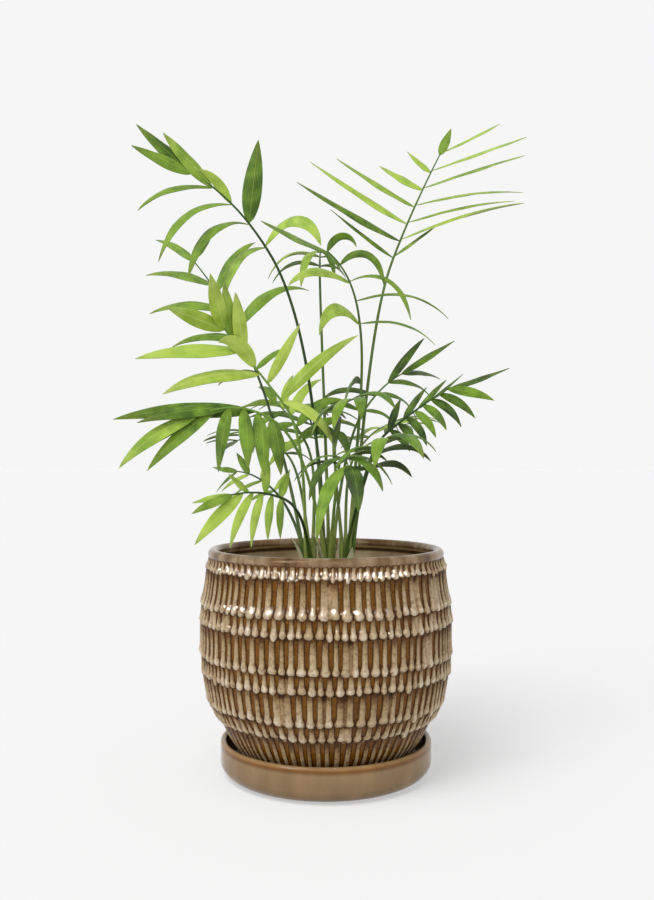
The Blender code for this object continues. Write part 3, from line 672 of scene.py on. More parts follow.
def add(tree, kind, inputs=None, **settings):
    """Adds a node. Inputs maps a socket's name or number to a value or to another node's output."""
    made = tree.nodes.new("ShaderNode" + kind)
    for name, value in settings.items():
        setattr(made, name, value)
    for key, value in (inputs or {}).items():
        if isinstance(value, bpy.types.NodeSocket):
            tree.links.new(value, made.inputs[key])
        else:
            made.inputs[key].default_value = value
    return made


def maths(tree, operation, *terms):
    """One sum, whose terms are numbers or other nodes' outputs."""
    return add(tree, "Math", dict(enumerate(terms)), operation=operation).outputs[0]


def blend(tree, share, under, over, how="MIX"):
    """This share of one colour over another."""
    made = add(tree, "Mix", {0: share, 6: under, 7: over}, data_type="RGBA", blend_type=how)
    return made.outputs[2]


def ramp(tree, factor, stops):
    """A colour ramp through (place, hex colour) stops."""
    made = add(tree, "ValToRGB", {"Fac": factor})
    elements = made.color_ramp.elements
    while len(elements) < len(stops):
        elements.new(0.5)
    for element, (place, code) in zip(elements, stops):
        element.position = place
        element.color = linear(code)
    return made.outputs["Color"]


def carried(tree, name):
    """The number of this name that the mesh carries."""
    return add(tree, "Attribute", attribute_name=name).outputs["Fac"]


def place_of(tree):
    return add(tree, "TexCoord").outputs["Object"]


def height_of(tree):
    return add(tree, "SeparateXYZ", {0: place_of(tree)}).outputs["Z"]


def grain(tree, size_mm, detail=3.0, stretch=(1, 1, 1)):
    """Noise whose blots are about this many millimetres wide, in the object's own place."""
    drawn = add(tree, "Mapping", {"Vector": place_of(tree), "Scale": stretch}).outputs["Vector"]
    scale = 1000 / size_mm
    return add(tree, "TexNoise", {"Vector": drawn, "Scale": scale, "Detail": detail}).outputs["Fac"]


def drifting(tree, number, size_mm, reach):
    """The number, less or more by this reach in blots about this many millimetres wide."""
    limits = {"Value": grain(tree, size_mm), "To Min": -reach, "To Max": reach}
    return maths(tree, "ADD", number, add(tree, "MapRange", limits).outputs[0])


def finish(name, roughness, **shine):
    """A new material with these values on its shader, and its tree."""
    made = bpy.data.materials.new(name)
    made.use_nodes = True
    shader = made.node_tree.nodes["Principled BSDF"]
    shader.inputs["Roughness"].default_value = roughness
    for key, value in shine.items():
        shader.inputs[key.replace("_", " ")].default_value = value
    return made, made.node_tree


def covered(made, colour, relief, depth_mm):
    """The material with this colour and with relief of this depth on its shader."""
    tree = made.node_tree
    shader = tree.nodes["Principled BSDF"]
    tree.links.new(colour, shader.inputs["Base Color"])
    bump = add(tree, "Bump", {"Height": relief, "Distance": depth_mm * MM, "Strength": 1.0})
    tree.links.new(bump.outputs["Normal"], shader.inputs["Normal"])
    return made


def drop_glaze():
    """Reactive glaze on stoneware: it runs off the ridges, which stay pale, and pools amber."""
    tint = linear("#fff4e6")
    made, tree = finish("drop_glaze", 0.06, Specular_IOR_Level=0.18, Specular_Tint=tint)
    depth = drifting(tree, drifting(tree, carried(tree, "pale"), 9, 0.14), 1.2, 0.09)
    # The near-black stop is the glaze's line at the groove edges, and it also takes the painted shade
    # under and between the drops.
    stops = (
        (0.0, "#6a420f"), (0.09, "#503006"), (0.19, "#1e0e00"), (0.32, "#4f3112"),
        (0.52, "#8e7653"), (0.8, "#ac997b"), (1.0, "#c5b7a2"),
    )
    speckle = ramp(tree, grain(tree, 2.2, 4.0), ((0.32, "#a8927c"), (0.54, "#ffffff")))
    colour = blend(tree, 0.6, ramp(tree, depth, stops), speckle, "MULTIPLY")
    return covered(made, colour, grain(tree, 1.8), 0.3)


def plain_glaze(name, stops, size_mm, roughness, line=None):
    """Smooth glaze whose colour drifts slowly, as it ran in the kiln, with a line of painted shadow
    under a lip where one is given.
    """
    tint = linear("#ffe6c4")
    made, tree = finish(name, roughness, Specular_IOR_Level=0.35, Specular_Tint=tint)
    colour = ramp(tree, grain(tree, size_mm, 4.0, (1, 1, 0.35)), stops)
    if line:
        # Painted shadow: a darker band between these heights, under the inner lip, with a faint tint
        # above it.
        low, high, deep, band = line
        limits = {"Value": height_of(tree), "From Min": low * MM, "From Max": high * MM}
        share = add(tree, "MapRange", limits).outputs[0]
        lip_shadow = ramp(tree, share, ((0.0, "#ffffff"), (0.25, deep), (0.5, deep), (0.7, band)))
        colour = blend(tree, 1.0, colour, lip_shadow, "MULTIPLY")
    return covered(made, colour, grain(tree, 3), 0.08)


def saucer_glaze():
    """The same glaze on the plain saucer: it breaks to amber in a line under the rim."""
    made, tree = finish("saucer_glaze", 0.12, Specular_IOR_Level=0.28)
    limits = {"Value": height_of(tree), "From Max": SAUCER_HEIGHT * MM}
    share = drifting(tree, add(tree, "MapRange", limits).outputs[0], 30, 0.02)
    # Darker towards the foot: painted shade where the wall turns under. The amber line under the rim
    # is the glaze's own.
    stops = (
        (0.0, "#6a5032"), (0.35, "#82694a"), (0.78, "#8a7150"), (0.86, "#6f4f2c"),
        (0.9, "#774818"), (0.95, "#8c683c"), (1.0, "#937750"),
    )
    cloud = ramp(tree, grain(tree, 14, 4.0, (1, 1, 0.4)), ((0.35, "#c9c4bd"), (0.65, "#ffffff")))
    colour = blend(tree, 0.5, ramp(tree, share, stops), cloud, "MULTIPLY")
    return covered(made, colour, grain(tree, 3), 0.08)


def earth():
    """Moist peat: near black, fibrous and rough."""
    made, tree = finish("moist_peat", 0.95)
    stops = ((0.3, "#1b130d"), (0.5, "#2f2219"), (0.7, "#4a382a"))
    return covered(made, ramp(tree, grain(tree, 1.6, 6.0), stops), grain(tree, 0.9, 6.0), 0.6)


def crumb(name, dark, pale):
    """Bark or perlite in the soil."""
    made, tree = finish(name, 0.9)
    colour = ramp(tree, grain(tree, 2, 5.0), ((0.3, dark), (0.7, pale)))
    return covered(made, colour, grain(tree, 1, 5.0), 0.3)


def stem_skin(name, foot, shaft, tip):
    """Living stalk: a waxy skin with fine lengthwise ribs, pale at its sheath."""
    made, tree = finish(name, 0.42, Specular_IOR_Level=0.25)
    run = drifting(tree, carried(tree, "along"), 7, 0.05)
    body = ramp(tree, run, ((0.0, foot), (0.14, foot), (0.32, shaft), (0.75, shaft), (1.0, tip)))
    drawn = (1, 1, 0.05)
    streak = ramp(tree, grain(tree, 0.9, 3.0, drawn), ((0.35, "#b4b9a8"), (0.65, "#ffffff")))
    colour = blend(tree, 0.6, body, streak, "MULTIPLY")
    return covered(made, colour, grain(tree, 0.8, 3.0, drawn), 0.15)


def ringed_cane():
    """Green cane with paler bands where old leaves fell."""
    made, tree = finish("ringed_cane", 0.5)
    bands = {"Vector": place_of(tree), "Scale": SCAR_BANDS, "Distortion": 0.6, "Detail": 2.0}
    rings = add(tree, "TexWave", bands, bands_direction="Z").outputs["Fac"]
    stops = ((0.0, "#4a5a2a"), (0.7, "#5b6c34"), (0.88, "#767a4a"), (1.0, "#888658"))
    return covered(made, ramp(tree, rings, stops), rings, 0.25)


def dry_sheath():
    """Old leaf base, papery and straw coloured."""
    made, tree = finish("dry_sheath", 0.7)
    fibres = grain(tree, 1.1, 4.0, (1, 1, 0.08))
    stops = ((0.3, "#a9a874"), (0.5, "#cdcba0"), (0.7, "#e0ddbd"))
    return covered(made, ramp(tree, fibres, stops), fibres, 0.2)


def leaf_skin(name, deep, face, tip, under):
    """Palm leaflet: satin, with fine lengthwise nerves, a paler midrib and a yellower tip."""
    made, tree = finish(name, 0.4, Specular_IOR_Level=0.3)
    laid = add(tree, "SeparateXYZ", {0: add(tree, "UVMap", uv_map="blade").outputs["UV"]})
    across, run = laid.outputs["X"], laid.outputs["Y"]
    stripes = {"Vector": add(tree, "CombineXYZ", {"X": across}).outputs[0], "Scale": 3.4}
    nerves = add(tree, "TexWave", stripes, wave_profile="SIN").outputs["Fac"]
    tone = maths(tree, "MULTIPLY_ADD", nerves, 0.2, grain(tree, 11))
    tone = maths(tree, "ADD", tone, carried(tree, "tone"))
    body = ramp(tree, tone, ((0.35, deep), (0.8, face)))
    age = ramp(tree, run, ((0.0, "#000000"), (0.68, "#000000"), (1.0, "#a8a8a8")))
    body = blend(tree, age, body, linear(tip))
    off = maths(tree, "ABSOLUTE", maths(tree, "SUBTRACT", across, 0.5))
    rib = ramp(tree, off, ((0.0, "#8c8c8c"), (0.022, "#8c8c8c"), (0.05, "#000000")))
    body = blend(tree, rib, body, linear(tip))
    # The underside is greyer, and darker in part as painted shade on the side turned from the light.
    share = maths(tree, "MULTIPLY", carried(tree, "below"), 0.65)
    return covered(made, blend(tree, share, body, linear(under)), nerves, 0.12)


# Modelling


def deselect():
    for piece in list(bpy.context.selected_objects):
        piece.select_set(False)


def pick(piece):
    """Makes this the one piece that operators work on."""
    deselect()
    piece.select_set(True)
    bpy.context.view_layer.objects.active = piece


def added(name):
    """The object that an operator just added, under its own name."""
    piece = bpy.context.object
    piece.name = name
    piece.data.name = name
    return piece


def settled(piece):
    """Puts the piece's place, turn and size into its mesh, so that its object is at the origin."""
    pick(piece)
    bpy.ops.object.transform_apply(location=True, rotation=True, scale=True)
    return piece


def edit(piece):
    pick(piece)
    bpy.ops.object.mode_set(mode="EDIT")


def done():
    bpy.ops.object.mode_set(mode="OBJECT")


def outward(piece, merge=True):
    """Turns the faces outwards, with doubles merged before that."""
    edit(piece)
    bpy.ops.mesh.select_all(action="SELECT")
    if merge:
        bpy.ops.mesh.remove_doubles(threshold=0.002 * MM)
    bpy.ops.mesh.normals_make_consistent(inside=False)
    done()


def smooth(piece, degrees=60):
    pick(piece)
    bpy.ops.object.shade_smooth_by_angle(angle=math.radians(degrees))


def values(mesh, name, numbers):
    """Gives each point of the mesh a number that its material reads."""
    mesh.attributes.new(name, "FLOAT", "POINT").data.foreach_set("value", np.asarray(numbers, float))


def places(mesh):
    found = np.empty(len(mesh.vertices) * 3)
    mesh.vertices.foreach_get("co", found)
    return found.reshape(-1, 3)


def arc(x, z, radius, start, end, steps):
    """Points round (x, z), from one angle to another in degrees."""
    turns = [math.radians(start + (end - start) * i / steps) for i in range(steps + 1)]
    return [(x + radius * math.cos(a), z + radius * math.sin(a)) for a in turns]


def spun(name, profile, steps, ring=False):
    """A round piece: half its outline is drawn by extruding a point, and is then spun."""
    deselect()
    (radius, height), rest = profile[0], profile[1:]
    bpy.ops.mesh.primitive_plane_add(size=MM, location=(radius * MM, 0, height * MM))
    piece = settled(added(name))
    edit(piece)
    bpy.ops.mesh.merge(type="CENTER")
    for r, z in rest + ([profile[0]] if ring else []):
        step = ((r - radius) * MM, 0, (z - height) * MM)
        bpy.ops.mesh.extrude_region_move(TRANSFORM_OT_translate={"value": step})
        radius, height = r, z
    bpy.ops.mesh.select_all(action="SELECT")
    bpy.ops.mesh.spin(steps=steps, angle=math.tau, center=(0, 0, 0), axis=(0, 0, 1))
    done()
    outward(piece)
    smooth(piece, 50)
    return piece


def paint(piece, *skins):
    for skin in skins:
        piece.data.materials.append(skin)


def stands_for(piece, slot, *nodes):
    """The piece rides on the plant's one body and takes the place of these solids."""
    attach(piece, "root")
    if nodes:
        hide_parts(*nodes)
    return piece


def copies(name, pattern, shapes, which=None, **numbers):
    """One joined piece with a copy of the pattern for each shape, an array of its points in metres."""
    count = len(pattern.vertices)
    faces = [tuple(face.vertices) for face in pattern.polygons]
    mesh = bpy.data.meshes.new(name)
    joined = [tuple(v + i * count for v in face) for i in range(len(shapes)) for face in faces]
    mesh.from_pydata(np.concatenate(shapes).tolist(), [], joined)
    if which is not None:
        mesh.polygons.foreach_set("material_index", np.repeat(which, len(faces)))
    for key, value in numbers.items():
        values(mesh, key, np.concatenate(value))
    if pattern.uv_layers:
        spots = np.empty(len(pattern.loops) * 2)
        pattern.uv_layers[0].data.foreach_get("uv", spots)
        mesh.uv_layers.new(name="blade").data.foreach_set("uv", np.tile(spots, len(shapes)))
    piece = bpy.data.objects.new(name, mesh)
    bpy.context.scene.collection.objects.link(piece)
    return piece


# Pot and saucer


def make_saucer(glaze):
    half = SAUCER_WALL / 2
    corner = SAUCER_INNER_CORNER
    inner = SAUCER_RADIUS - SAUCER_WALL
    profile = [(0, SAUCER_FLOOR), (FLOOR_RING, SAUCER_FLOOR)]
    profile += arc(inner - corner, SAUCER_FLOOR + corner, corner, -90, 0, 8)
    profile += arc(SAUCER_RADIUS - half, SAUCER_HEIGHT - half, half, 180, 0, 14)
    across = SAUCER_RADIUS - SAUCER_FOOT_RADIUS
    profile += [
        (SAUCER_RADIUS - across * (1 - c), SAUCER_CORNER * (1 - s))
        for c, s in arc(0, 0, 1, 0, 90, 12)
    ]
    piece = spun("glazed_saucer", profile + [(UNDER_RING, 0), (0, 0)], SAUCER_TURNS)
    paint(piece, glaze)
    stands_for(piece, "saucer_glaze", "saucer")


def row_lines():
    """For each row of drops, its crest line down the pot as (radius, height) points."""
    tops = [(POT_RIM_RADIUS + FIRST_START[0], POT_TOP - FIRST_START[1])]
    tops += [(row.radius - ROW_STEP, row.height + ROW_TUCK) for row in POT_ROWS]
    lines = []
    for (radius, height), row in zip(tops, POT_ROWS):
        out, up = row.radius - CREST_INSET - radius, row.height - height
        lines.append([(radius + out * t**ROW_BELLY, height + up * t) for t in evenly(9)])
    foot = (POT_FOOT_RADIUS + LAST_END[0], POT_BASE + LAST_END[1])
    lines.append([tops[-1], *POT_LOWER_CURVE, foot])
    return lines


def drop_pattern():
    """A flat strip that becomes one ridge with its drop, closer meshed at its sides and lower end."""
    deselect()
    bpy.ops.mesh.primitive_grid_add(x_subdivisions=DROP_COLUMNS, y_subdivisions=DROP_ROWS, size=2)
    return settled(added("drop_pattern"))


def drop_row(number, line, drops, pattern, glaze, rng):
    """A ring of ridges that each end in a drop, closed at its back.

    Across runs from -1 to 1 over one ridge, down from 0 to 1 over the row, and into from 0 to 1
    over the drop.
    """
    flat = places(pattern.data)
    across = np.sin(flat[:, 0] * math.pi / 2)
    down = 1 - ((flat[:, 1] + 1) / 2) ** BUNCHED
    radii, heights = np.array(line).T
    run = np.concatenate([[0], np.cumsum(np.hypot(np.diff(radii), np.diff(heights)))])
    crest_radius = np.interp(down, run / run[-1], radii)
    crest_height = np.interp(down, run / run[-1], heights)
    drop_share = min(DROP_LENGTH / run[-1], DROP_MOST)
    into = np.clip((down - (1 - drop_share)) / drop_share, 0, 1)
    swell = (into / SWELL_TO).clip(0, 1) ** SWELL_POWER
    end = np.sqrt(1 - np.clip((into - ROUND_FROM) / ROUND_OVER, 0, 1) ** ROUND_POWER)
    opened = np.ones(len(down))
    # Each row's top is darker: browner glaze, with painted shade under the drops above.
    shade = np.clip(ROW_SHADE + down * SHADE_FADE, 0, 1)
    if number == 1:
        opened = np.clip(down * run[-1] / ARCH, 0, 1) ** ARCH_POWER
        shade = RIM_SHADE + (1 - RIM_SHADE) * opened
    widths = np.array([rng.uniform(*DROP_WIDTHS) for _ in range(drops)])
    edges = np.concatenate([[0], np.cumsum(widths / widths.sum())]) * math.tau
    phase = [rng.uniform(0, math.tau) for _ in WAVES]
    runs = [(edge, rng.uniform(*RUN_FULLNESS)) for edge in edges[1:-1] if rng.random() < RUN_CHANCE]
    reach = RUN_WIDTH * math.tau / drops
    free = 1 - across**2
    shapes = []
    pale = []
    for left, right in zip(edges, edges[1:]):
        neck = rng.uniform(*NECKS)
        full = rng.uniform(*BELLIES)
        neck = neck + (1 - neck) * (1 - opened)
        girth = (neck + (full - neck) * swell) * np.maximum(end, LEAST_GIRTH)
        crest = (1 - np.clip(np.abs(across) / girth, 0, 1) ** CREST_FLAT) ** CREST_STEEP
        swollen = 1 + DROP_SWELL * swell
        proud = GROOVE * opened * swollen * end**END_POWER * rng.uniform(*PROUDNESS)
        sway = rng.uniform(-SWAY, SWAY) * np.sin(down * math.pi)
        turn = (left + right) / 2 + (right - left) / 2 * (across + sway * free)
        filled = sum(much * np.exp(-(((turn - edge) / reach) ** 2)) for edge, much in runs)
        filled = filled * np.ones(len(turn)) * end * np.clip(down * RUN_START, 0, 1)
        radius = crest_radius - GROOVE * opened + proud * crest
        radius += RUN_FILL * GROOVE * opened * filled * (1 - crest)
        hang = rng.uniform(-1, 1) * DROP_UNEVEN + (LONG_DRIP if rng.random() < LONG_CHANCE else 0)
        wave = sum(np.sin(turn * k + a) for k, a in zip(WAVES, phase)) * ROW_WAVE / 2
        height = crest_height - (hang * free + wave) * down**2
        shapes.append(np.stack([radius * np.cos(turn), radius * np.sin(turn), height], 1) * MM)
        glazed = np.clip((crest - PALE_FROM) / PALE_OVER, 0, 1)
        glazed = glazed * (RIDGE_PALE + (1 - RIDGE_PALE) * swell) * shade
        glazed = np.maximum(glazed * rng.uniform(*DROP_TONES), RUN_PALE * filled)
        # Glaze pooled at the drops' edges, with painted shade between and under the drops and at each
        # row's top.
        pooled_and_shade = POOLED_AND_SHADE * np.maximum(np.maximum(swell, 1 - down * SHADED_TOP), 0)
        pale.append(np.maximum(glazed, pooled_and_shade))
    piece = copies(f"drop_row_{number}", pattern.data, shapes, pale=pale)
    outward(piece)
    edit(piece)
    close_back(piece)
    done()
    outward(piece)
    smooth(piece, 75)
    paint(piece, glaze)
    return stands_for(piece, "pot_glaze", "pot")


def close_back(piece):
    """Draws both open rims of a sleeve inwards and bridges them behind it."""
    net = bmesh.from_edit_mesh(piece.data)
    for edge in net.edges:
        edge.select_set(edge.is_boundary)
    bmesh.update_edit_mesh(piece.data)
    bpy.ops.mesh.extrude_region_move(TRANSFORM_OT_translate={"value": (0, 0, 0)})
    bpy.ops.transform.resize(value=(ROW_BACK, ROW_BACK, 1), center_override=(0, 0, 0))
    bpy.ops.mesh.bridge_edge_loops()


def make_pot_body(rim_glaze, inner_glaze, lines):
    """The plain body under the drops: rolled rim, outer wall, foot, drain hole and inner wall."""
    crest = POT_TOP - POT_RIM_HALF
    profile = arc(POT_RIM_RADIUS, crest, POT_RIM_HALF, *RIM_ROLL)
    for line in lines:
        radii, heights = np.array(line).T
        down = np.linspace(0, 1, len(line))
        least = POT_RIM_RADIUS + BODY_NECK if line is lines[0] else 0
        for share in BODY_RINGS:
            radius = float(np.interp(share, down, radii)) - BODY_INSET
            profile.append((max(radius, least), float(np.interp(share, down, heights))))
    profile += [(POT_FOOT_RADIUS, POT_BASE + FOOT_BEVEL), (POT_FOOT_RADIUS - FOOT_BEVEL, POT_BASE)]
    profile += [(DRAIN_RADIUS, POT_BASE), (DRAIN_RADIUS, POT_FLOOR), *POT_INNER_CORNER]
    profile += [(row.radius - POT_WALL, row.height) for row in POT_ROWS[:0:-2]]
    inner = POT_ROWS[0].radius - POT_WALL
    profile += [(inner, POT_ROWS[0].height), (inner - INNER_LIP, POT_TOP - 2 * POT_RIM_HALF)]
    piece = spun("pot_body", profile, POT_TURNS, ring=True)
    paint(piece, rim_glaze, inner_glaze)
    for face in piece.data.polygons:
        x, y, z = face.center / MM
        inwards = face.normal.x * x + face.normal.y * y < 0
        inside = inwards or math.hypot(x, y) < POT_INNER_CORNER[1][0]
        face.material_index = int(inside and z < crest - RIM_GLAZED)
    stands_for(piece, "pot_glaze", "pot")


# Soil


def make_soil(peat):
    """Lumpy peat that fills the pot."""
    (floor_radius, floor), (corner_radius, corner) = POT_INNER_CORNER
    profile = [(SOIL_EDGE * i / SOIL_RINGS, SOIL_TOP) for i in range(SOIL_RINGS + 1)]
    profile += [(row.radius - POT_WALL - SOIL_GAP, row.height) for row in POT_ROWS[2::2]]
    profile += [(corner_radius - SOIL_GAP, corner)]
    profile += [(floor_radius - SOIL_GAP, floor + GAP), (0, floor + GAP)]
    piece = spun("potting_soil", profile, SOIL_TURNS)
    for vertex in piece.data.vertices:
        x, y, z = vertex.co / MM
        if z > SOIL_TOP - 0.1:
            share = min(1, (SOIL_EDGE - math.hypot(x, y)) / SOIL_BANK)
            vertex.co.z += lumps(x, y) * MM * share
    smooth(piece, 80)
    paint(piece, peat)
    stands_for(piece, "potting_soil", "soil")


def make_crumbs(bark, perlite, rng):
    """Crumbs of bark and perlite that lie on the soil."""
    deselect()
    bpy.ops.mesh.primitive_ico_sphere_add(subdivisions=2, radius=1)
    pattern = settled(added("crumb_pattern"))
    ball = places(pattern.data)
    shapes = []
    which = []
    for _ in range(CRUMBS):
        reach = CRUMB_REACH * math.sqrt(rng.uniform(0.01, 1))
        turn = rng.uniform(0, math.tau)
        x, y = reach * math.cos(turn), reach * math.sin(turn)
        white = rng.random() < PERLITE_SHARE
        size = np.array([rng.uniform(*CRUMB_SIZES) for _ in range(3)])
        size *= PERLITE_SIZE if white else 1
        size[2] *= CRUMB_FLAT
        here = Vector((x, y, 0))
        rough = [1 + CRUMB_ROUGH * noise.noise(Vector(p) * CRUMB_GRAIN + here) for p in ball]
        turned = (ball * np.array(rough)[:, None] * size) @ turn_about_z(rng.uniform(0, math.tau))
        raised = SOIL_TOP + lumps(x, y) + size[2] * CRUMB_RAISED
        shapes.append((turned + (x, y, raised)) * MM)
        which.append(int(white))
    crumbs = copies("soil_crumbs", pattern.data, shapes, which)
    paint(crumbs, bark, perlite)
    smooth(crumbs)
    stands_for(crumbs, "potting_soil")
    bpy.data.objects.remove(pattern)


def lumps(x, y):
    """Height of the soil's lumps over its level, in millimetres."""
    return LUMP_HEIGHT * noise.fractal(Vector((x, y, 3.0)) / LUMP_WIDTH, 0.8, 2.0, 4)


def turn_about_z(angle):
    c, s = math.cos(angle), math.sin(angle)
    return np.array([[c, s, 0], [-s, c, 0], [0, 0, 1]])


# Plant


def rod_pattern():
    """A straight rod of one unit, drawn by extruding a circle ring by ring."""
    deselect()
    bpy.ops.mesh.primitive_circle_add(vertices=STEM_SIDES, radius=1, fill_type="NGON")
    piece = settled(added("rod_pattern"))
    edit(piece)
    bpy.ops.mesh.select_all(action="SELECT")
    for _ in range(STEM_RINGS):
        step = (0, 0, 1 / STEM_RINGS)
        bpy.ops.mesh.extrude_region_move(TRANSFORM_OT_translate={"value": step})
    done()
    outward(piece)
    return piece


def blade_pattern():
    """A flat leaflet: x across it from -1 to 1, y along it from 0 to 1, z through it."""
    deselect()
    bpy.ops.mesh.primitive_grid_add(x_subdivisions=BLADE_COLUMNS, y_subdivisions=BLADE_ROWS, size=2)
    piece = added("blade_pattern")
    edit(piece)
    bpy.ops.mesh.select_all(action="SELECT")
    bpy.ops.transform.resize(value=(1, 0.5, 1))
    bpy.ops.transform.translate(value=(0, 0.5, 0))
    done()
    body = piece.modifiers.new("body", "SOLIDIFY")
    body.thickness = 1.0
    body.offset = 0.0
    bpy.ops.object.modifier_apply(modifier=body.name)
    outward(piece, merge=False)
    return piece


def carried_sides(heads, last):
    """A sideways direction for each heading, carried down from the last so that it never flips."""
    sides = [Vector(last)]
    for head in reversed(heads[:-1]):
        sides.append(across_of(sides[-1], head))
    return sides[::-1]


def stem_shape(frond, foot, rod):
    """The rod bent along the stalk and rib, swollen at its foot and channelled along its face."""
    spots = stalk_line(frond, foot, FINE_STALK_POINTS) + rib_line(frond, FINE_RIB_POINTS)
    runs = np.array([0] + [(b - a).length for a, b in zip(spots, spots[1:])]).cumsum()
    ends = list(zip([spots[0]] + spots[:-1], spots[1:] + [spots[-1]]))
    heads = [(after - before).normalized() for before, after in ends]
    face = across_of(Vector(frond.face), heads[-1])
    sides = carried_sides(heads, heads[-1].cross(face))
    shares = rod[:, 2] * runs[-1]

    def between(rows):
        return np.stack([np.interp(shares, runs, [row[i] for row in rows]) for i in range(3)], 1)

    centre, head, side = between(spots), between(heads), between(sides)
    top = np.cross(side, head)
    joint = runs[FINE_STALK_POINTS]
    radius = np.interp(shares, [0, joint, runs[-1]], [STALK_FOOT, STALK_TOP, RIB_TIP])
    radius = radius + SHEATH_SWELL * np.clip(1 - shares / SHEATH_LENGTH, 0, 1) ** SHEATH_POWER
    channel = 1 - CHANNEL * np.clip(rod[:, 1], 0, 1) ** CHANNEL_POWER
    spot = centre + side * (rod[:, 0] * radius)[:, None]
    spot += top * (rod[:, 1] * radius * channel)[:, None]
    return spot * MM, shares / runs[-1]


def make_stems(skins):
    pattern = rod_pattern()
    rod = places(pattern.data)
    feet = stalk_feet()
    for frond in FRONDS:
        shape, run = stem_shape(frond, feet[frond.name], rod)
        piece = copies("stem_" + frond.name, pattern.data, [shape], along=[run])
        outward(piece, merge=False)
        smooth(piece)
        paint(piece, skins[STEM_TINTS.get(frond.name, "green")])
        stands_for(piece, "stalk", "stalk_" + frond.name)
    bpy.data.objects.remove(pattern)


def blade_shape(line, length, width, flat, rng):
    """The flat leaflet laid along its line, with its fold, a slight twist and a wavy edge."""
    spots, heads, sides, normals = (np.array([list(s[k]) for s in line]) for k in range(4))
    place = np.clip(flat[:, 1], 0, 1) * LINE_STEPS
    low = np.minimum(place.astype(int), LINE_STEPS - 1)
    t = (place - low)[:, None]
    runs = heads * (length / LINE_STEPS)
    centre = hermite(spots[low], runs[low], spots[low + 1], runs[low + 1], t)
    side = sides[low] * (1 - t) + sides[low + 1] * t
    normal = normals[low] * (1 - t) + normals[low + 1] * t
    share = flat[:, 1]
    twist = (rng.uniform(-TWIST, TWIST) * share**2)[:, None]
    turned = side * np.cos(twist) + normal * np.sin(twist)
    normal = normal * np.cos(twist) - side * np.sin(twist)
    half = np.array([max(half_width(min(max(s, 0), 1), width), BLADE_LEAST) for s in share])
    across = flat[:, 0]
    fold = FOLD * np.abs(across) ** FOLD_POWER - PLEAT * np.cos(across * math.pi * PLEATS)
    wave = np.sin(share * math.tau * EDGE_WAVES + rng.uniform(*ANY_PHASE))
    wave = EDGE_WAVE * wave * across**2 * np.sign(across)
    lift = half * (wave - fold) + flat[:, 2] * BLADE_THICK
    return (centre + turned * (across * half)[:, None] + normal * lift[:, None]) * MM


def make_leaflets(skins):
    pattern = blade_pattern()
    flat = places(pattern.data)
    below = (flat[:, 2] < 0).astype(float)
    for i, (name, leaves) in enumerate(grown().items()):
        rng = random.Random(LEAF_SEED + i)
        mix = LEAF_MIX[FRONDS[i].tint]
        shapes = [blade_shape(*leaflet, flat, rng) for leaflet in leaves]
        kinds = sorted(set(mix))
        which = [kinds.index(rng.choice(mix)) for _ in leaves]
        tone = [np.full(len(flat), rng.uniform(-LEAF_TONE, LEAF_TONE)) for _ in leaves]
        piece = copies(
            "leaflets_" + name, pattern.data, shapes, which, below=[below] * len(leaves), tone=tone
        )
        smooth(piece)
        paint(piece, *[skins[kind] for kind in kinds])
        stands_for(piece, "leaf", "frond_" + name)
    bpy.data.objects.remove(pattern)


def make_canes(skin):
    """Each cane with shallow rings, on the same foot as its solid."""
    foot = SOIL_TOP + GAP
    for name, cane in CANES.items():
        profile = [(0, foot)]
        for i in range(CANE_RINGS + 1):
            height = foot + (CANE_TOP - SOIL_TOP - GAP) * i / CANE_RINGS
            flare = float(np.interp(height - foot, *zip(*CANE_FLARE)))
            ring = SCAR_HEIGHT * max(0, math.cos(math.tau * height / SCAR_SPACING)) ** SCAR_POWER
            profile.append((cane.radius + flare + ring, height))
        profile.append((0, CANE_TOP))
        piece = spun("ringed_cane_" + name, profile, CANE_TURNS)
        piece.data.transform(Matrix.Translation((cane.x * MM, cane.y * MM, 0)))
        paint(piece, skin)
        stands_for(piece, "cane", "cane_" + name)


def make_old_sheaths(skin, rng):
    """Dry leaf bases that clasp the canes and end in a torn point."""
    pattern = blade_pattern()
    across, share, through = places(pattern.data).T
    shapes = []
    for sheath in OLD_SHEATHS:
        cane = CANES[sheath.cane]
        spread = math.radians(sheath.width) * (1 - share**OLD_TAPER)
        turn = math.radians(sheath.turn) + across * np.maximum(spread, OLD_LEAST)
        out = cane.radius + OLD_OFF + sheath.lean * sheath.height * share**OLD_CURL
        out += through * OLD_THICK
        torn = TORN * np.sin(across * TEARS + rng.uniform(*ANY_PHASE)) * share
        height = SOIL_TOP + OLD_FOOT + sheath.height * share + torn
        x = cane.x + out * np.cos(turn)
        y = cane.y + out * np.sin(turn)
        shapes.append(np.stack([x, y, height], 1) * MM)
    piece = copies("old_sheaths", pattern.data, shapes)
    smooth(piece)
    paint(piece, skin)
    stands_for(piece, "cane")
    bpy.data.objects.remove(pattern)


# Studio


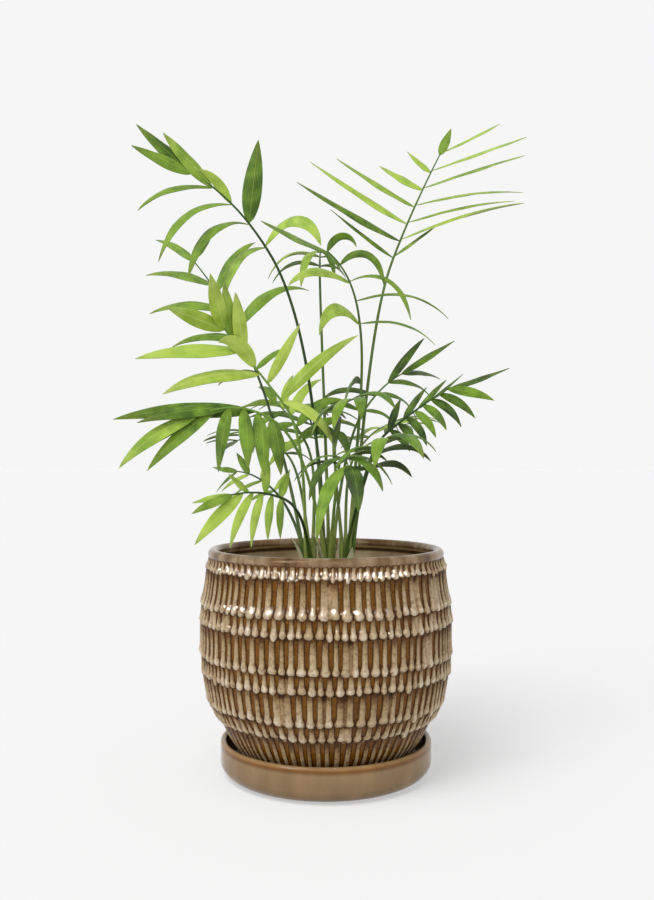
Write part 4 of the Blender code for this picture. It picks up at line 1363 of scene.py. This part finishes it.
def make_studio(rows):
    """A pale floor, an even pale surround, and soft light from the upper left and front."""
    scene = bpy.context.scene
    scene.view_settings.view_transform = "Standard"
    deselect()
    bpy.ops.mesh.primitive_plane_add(size=FLOOR_SIZE)
    floor = settled(added("studio_floor"))
    grey = (FLOOR_ALBEDO, FLOOR_ALBEDO, FLOOR_ALBEDO, 1)
    glow = {"Emission_Color": (1, 1, 1, 1), "Emission_Strength": FLOOR_GLOW}
    skin, _ = finish("pale_floor", 0.9, Specular_IOR_Level=0.1, Base_Color=grey, **glow)
    paint(floor, skin)
    world = bpy.data.worlds.new("pale_surround")
    scene.world = world
    world.use_nodes = True
    surround = world.node_tree.nodes["Background"]
    surround.inputs["Color"].default_value = (SURROUND, SURROUND, SURROUND, 1)
    key_sun, floor_sun = SUNS
    add_sun(*key_sun)
    shine_only_on(add_sun(*floor_sun), [floor])
    for window in WINDOWS:
        add_window(*window)
    for glint in GLINTS:
        window = add_window(*glint)
        window.visible_diffuse = False
        shine_only_on(window, rows)


def add_light(kind, name, power, towards, reach):
    """A light that stands this far off in the given direction and faces the pot."""
    bpy.ops.object.light_add(type=kind)
    light = bpy.context.object
    light.name = name
    light.data.energy = power
    direction = Vector(towards).normalized()
    light.location = direction * reach + Vector((0, 0, AIM_HEIGHT))
    light.rotation_euler = (-direction).to_track_quat("-Z", "Y").to_euler()
    return light


def add_sun(name, towards, irradiance, softness):
    sun = add_light("SUN", name, irradiance, towards, SUN_REACH)
    sun.data.angle = math.radians(softness)
    return sun


def add_window(name, towards, width, height, power):
    window = add_light("AREA", name, power, towards, WINDOW_REACH)
    window.data.shape = "RECTANGLE"
    window.data.size, window.data.size_y = width, height
    return window


def shine_only_on(light, pieces):
    lit = bpy.data.collections.new(light.name + "_falls_on")
    for piece in pieces:
        lit.objects.link(piece)
    light.light_linking.receiver_collection = lit


def make_camera():
    place = (0, -CAMERA_DISTANCE, CAMERA_HEIGHT)
    bpy.ops.object.camera_add(location=place, rotation=(math.pi / 2, 0, 0))
    camera = bpy.context.object
    camera.name = "photo_camera"
    camera.data.sensor_width = SENSOR
    camera.data.lens = SENSOR * FOCAL_PX / PHOTO_HEIGHT
    camera.data.shift_x = (PHOTO_WIDTH / 2 - AXIS_PX) / PHOTO_HEIGHT
    camera.data.shift_y = (HORIZON_PX - PHOTO_HEIGHT / 2) / PHOTO_HEIGHT
    camera.data.clip_start = 0.02
    bpy.context.scene.camera = camera


def main():
    rng = random.Random(MAIN_SEED)
    glaze = drop_glaze()
    rim_stops = ((0.3, "#452c13"), (0.5, "#72583c"), (0.7, "#9c866b"))
    inner_stops = ((0.3, "#a88e6c"), (0.55, "#bfa884"), (0.75, "#d0bc98"))
    rim = plain_glaze("rim_glaze", rim_stops, 12, 0.16)
    # The inner glaze's darker line from 149.5 to 155 mm is painted shadow under the rolled lip.
    inner = plain_glaze("inner_glaze", inner_stops, 16, 0.3, (149.5, 155.0, "#6e5a45", "#f6e9d6"))
    make_saucer(saucer_glaze())
    lines = row_lines()
    make_pot_body(rim, inner, lines)
    pattern = drop_pattern()
    counts = [row.drops for row in POT_ROWS] + [POT_FOOT_DROPS]
    rows = [
        drop_row(number, line, drops, pattern, glaze, rng)
        for number, (line, drops) in enumerate(zip(lines, counts), 1)
    ]
    bpy.data.objects.remove(pattern)
    bark = crumb("bark_crumb", "#2a1a10", "#5a3d26")
    perlite = crumb("perlite_crumb", "#b9b4a8", "#e4e1d8")
    make_soil(earth())
    make_crumbs(bark, perlite, rng)
    make_canes(ringed_cane())
    make_old_sheaths(dry_sheath(), rng)
    make_stems({name: stem_skin(name + "_stalk", *c) for name, c in STEM_COLOURS.items()})
    make_leaflets({name: leaf_skin(name, *c) for name, c in LEAF_COLOURS.items()})
    make_studio(rows)
    make_camera()


main()
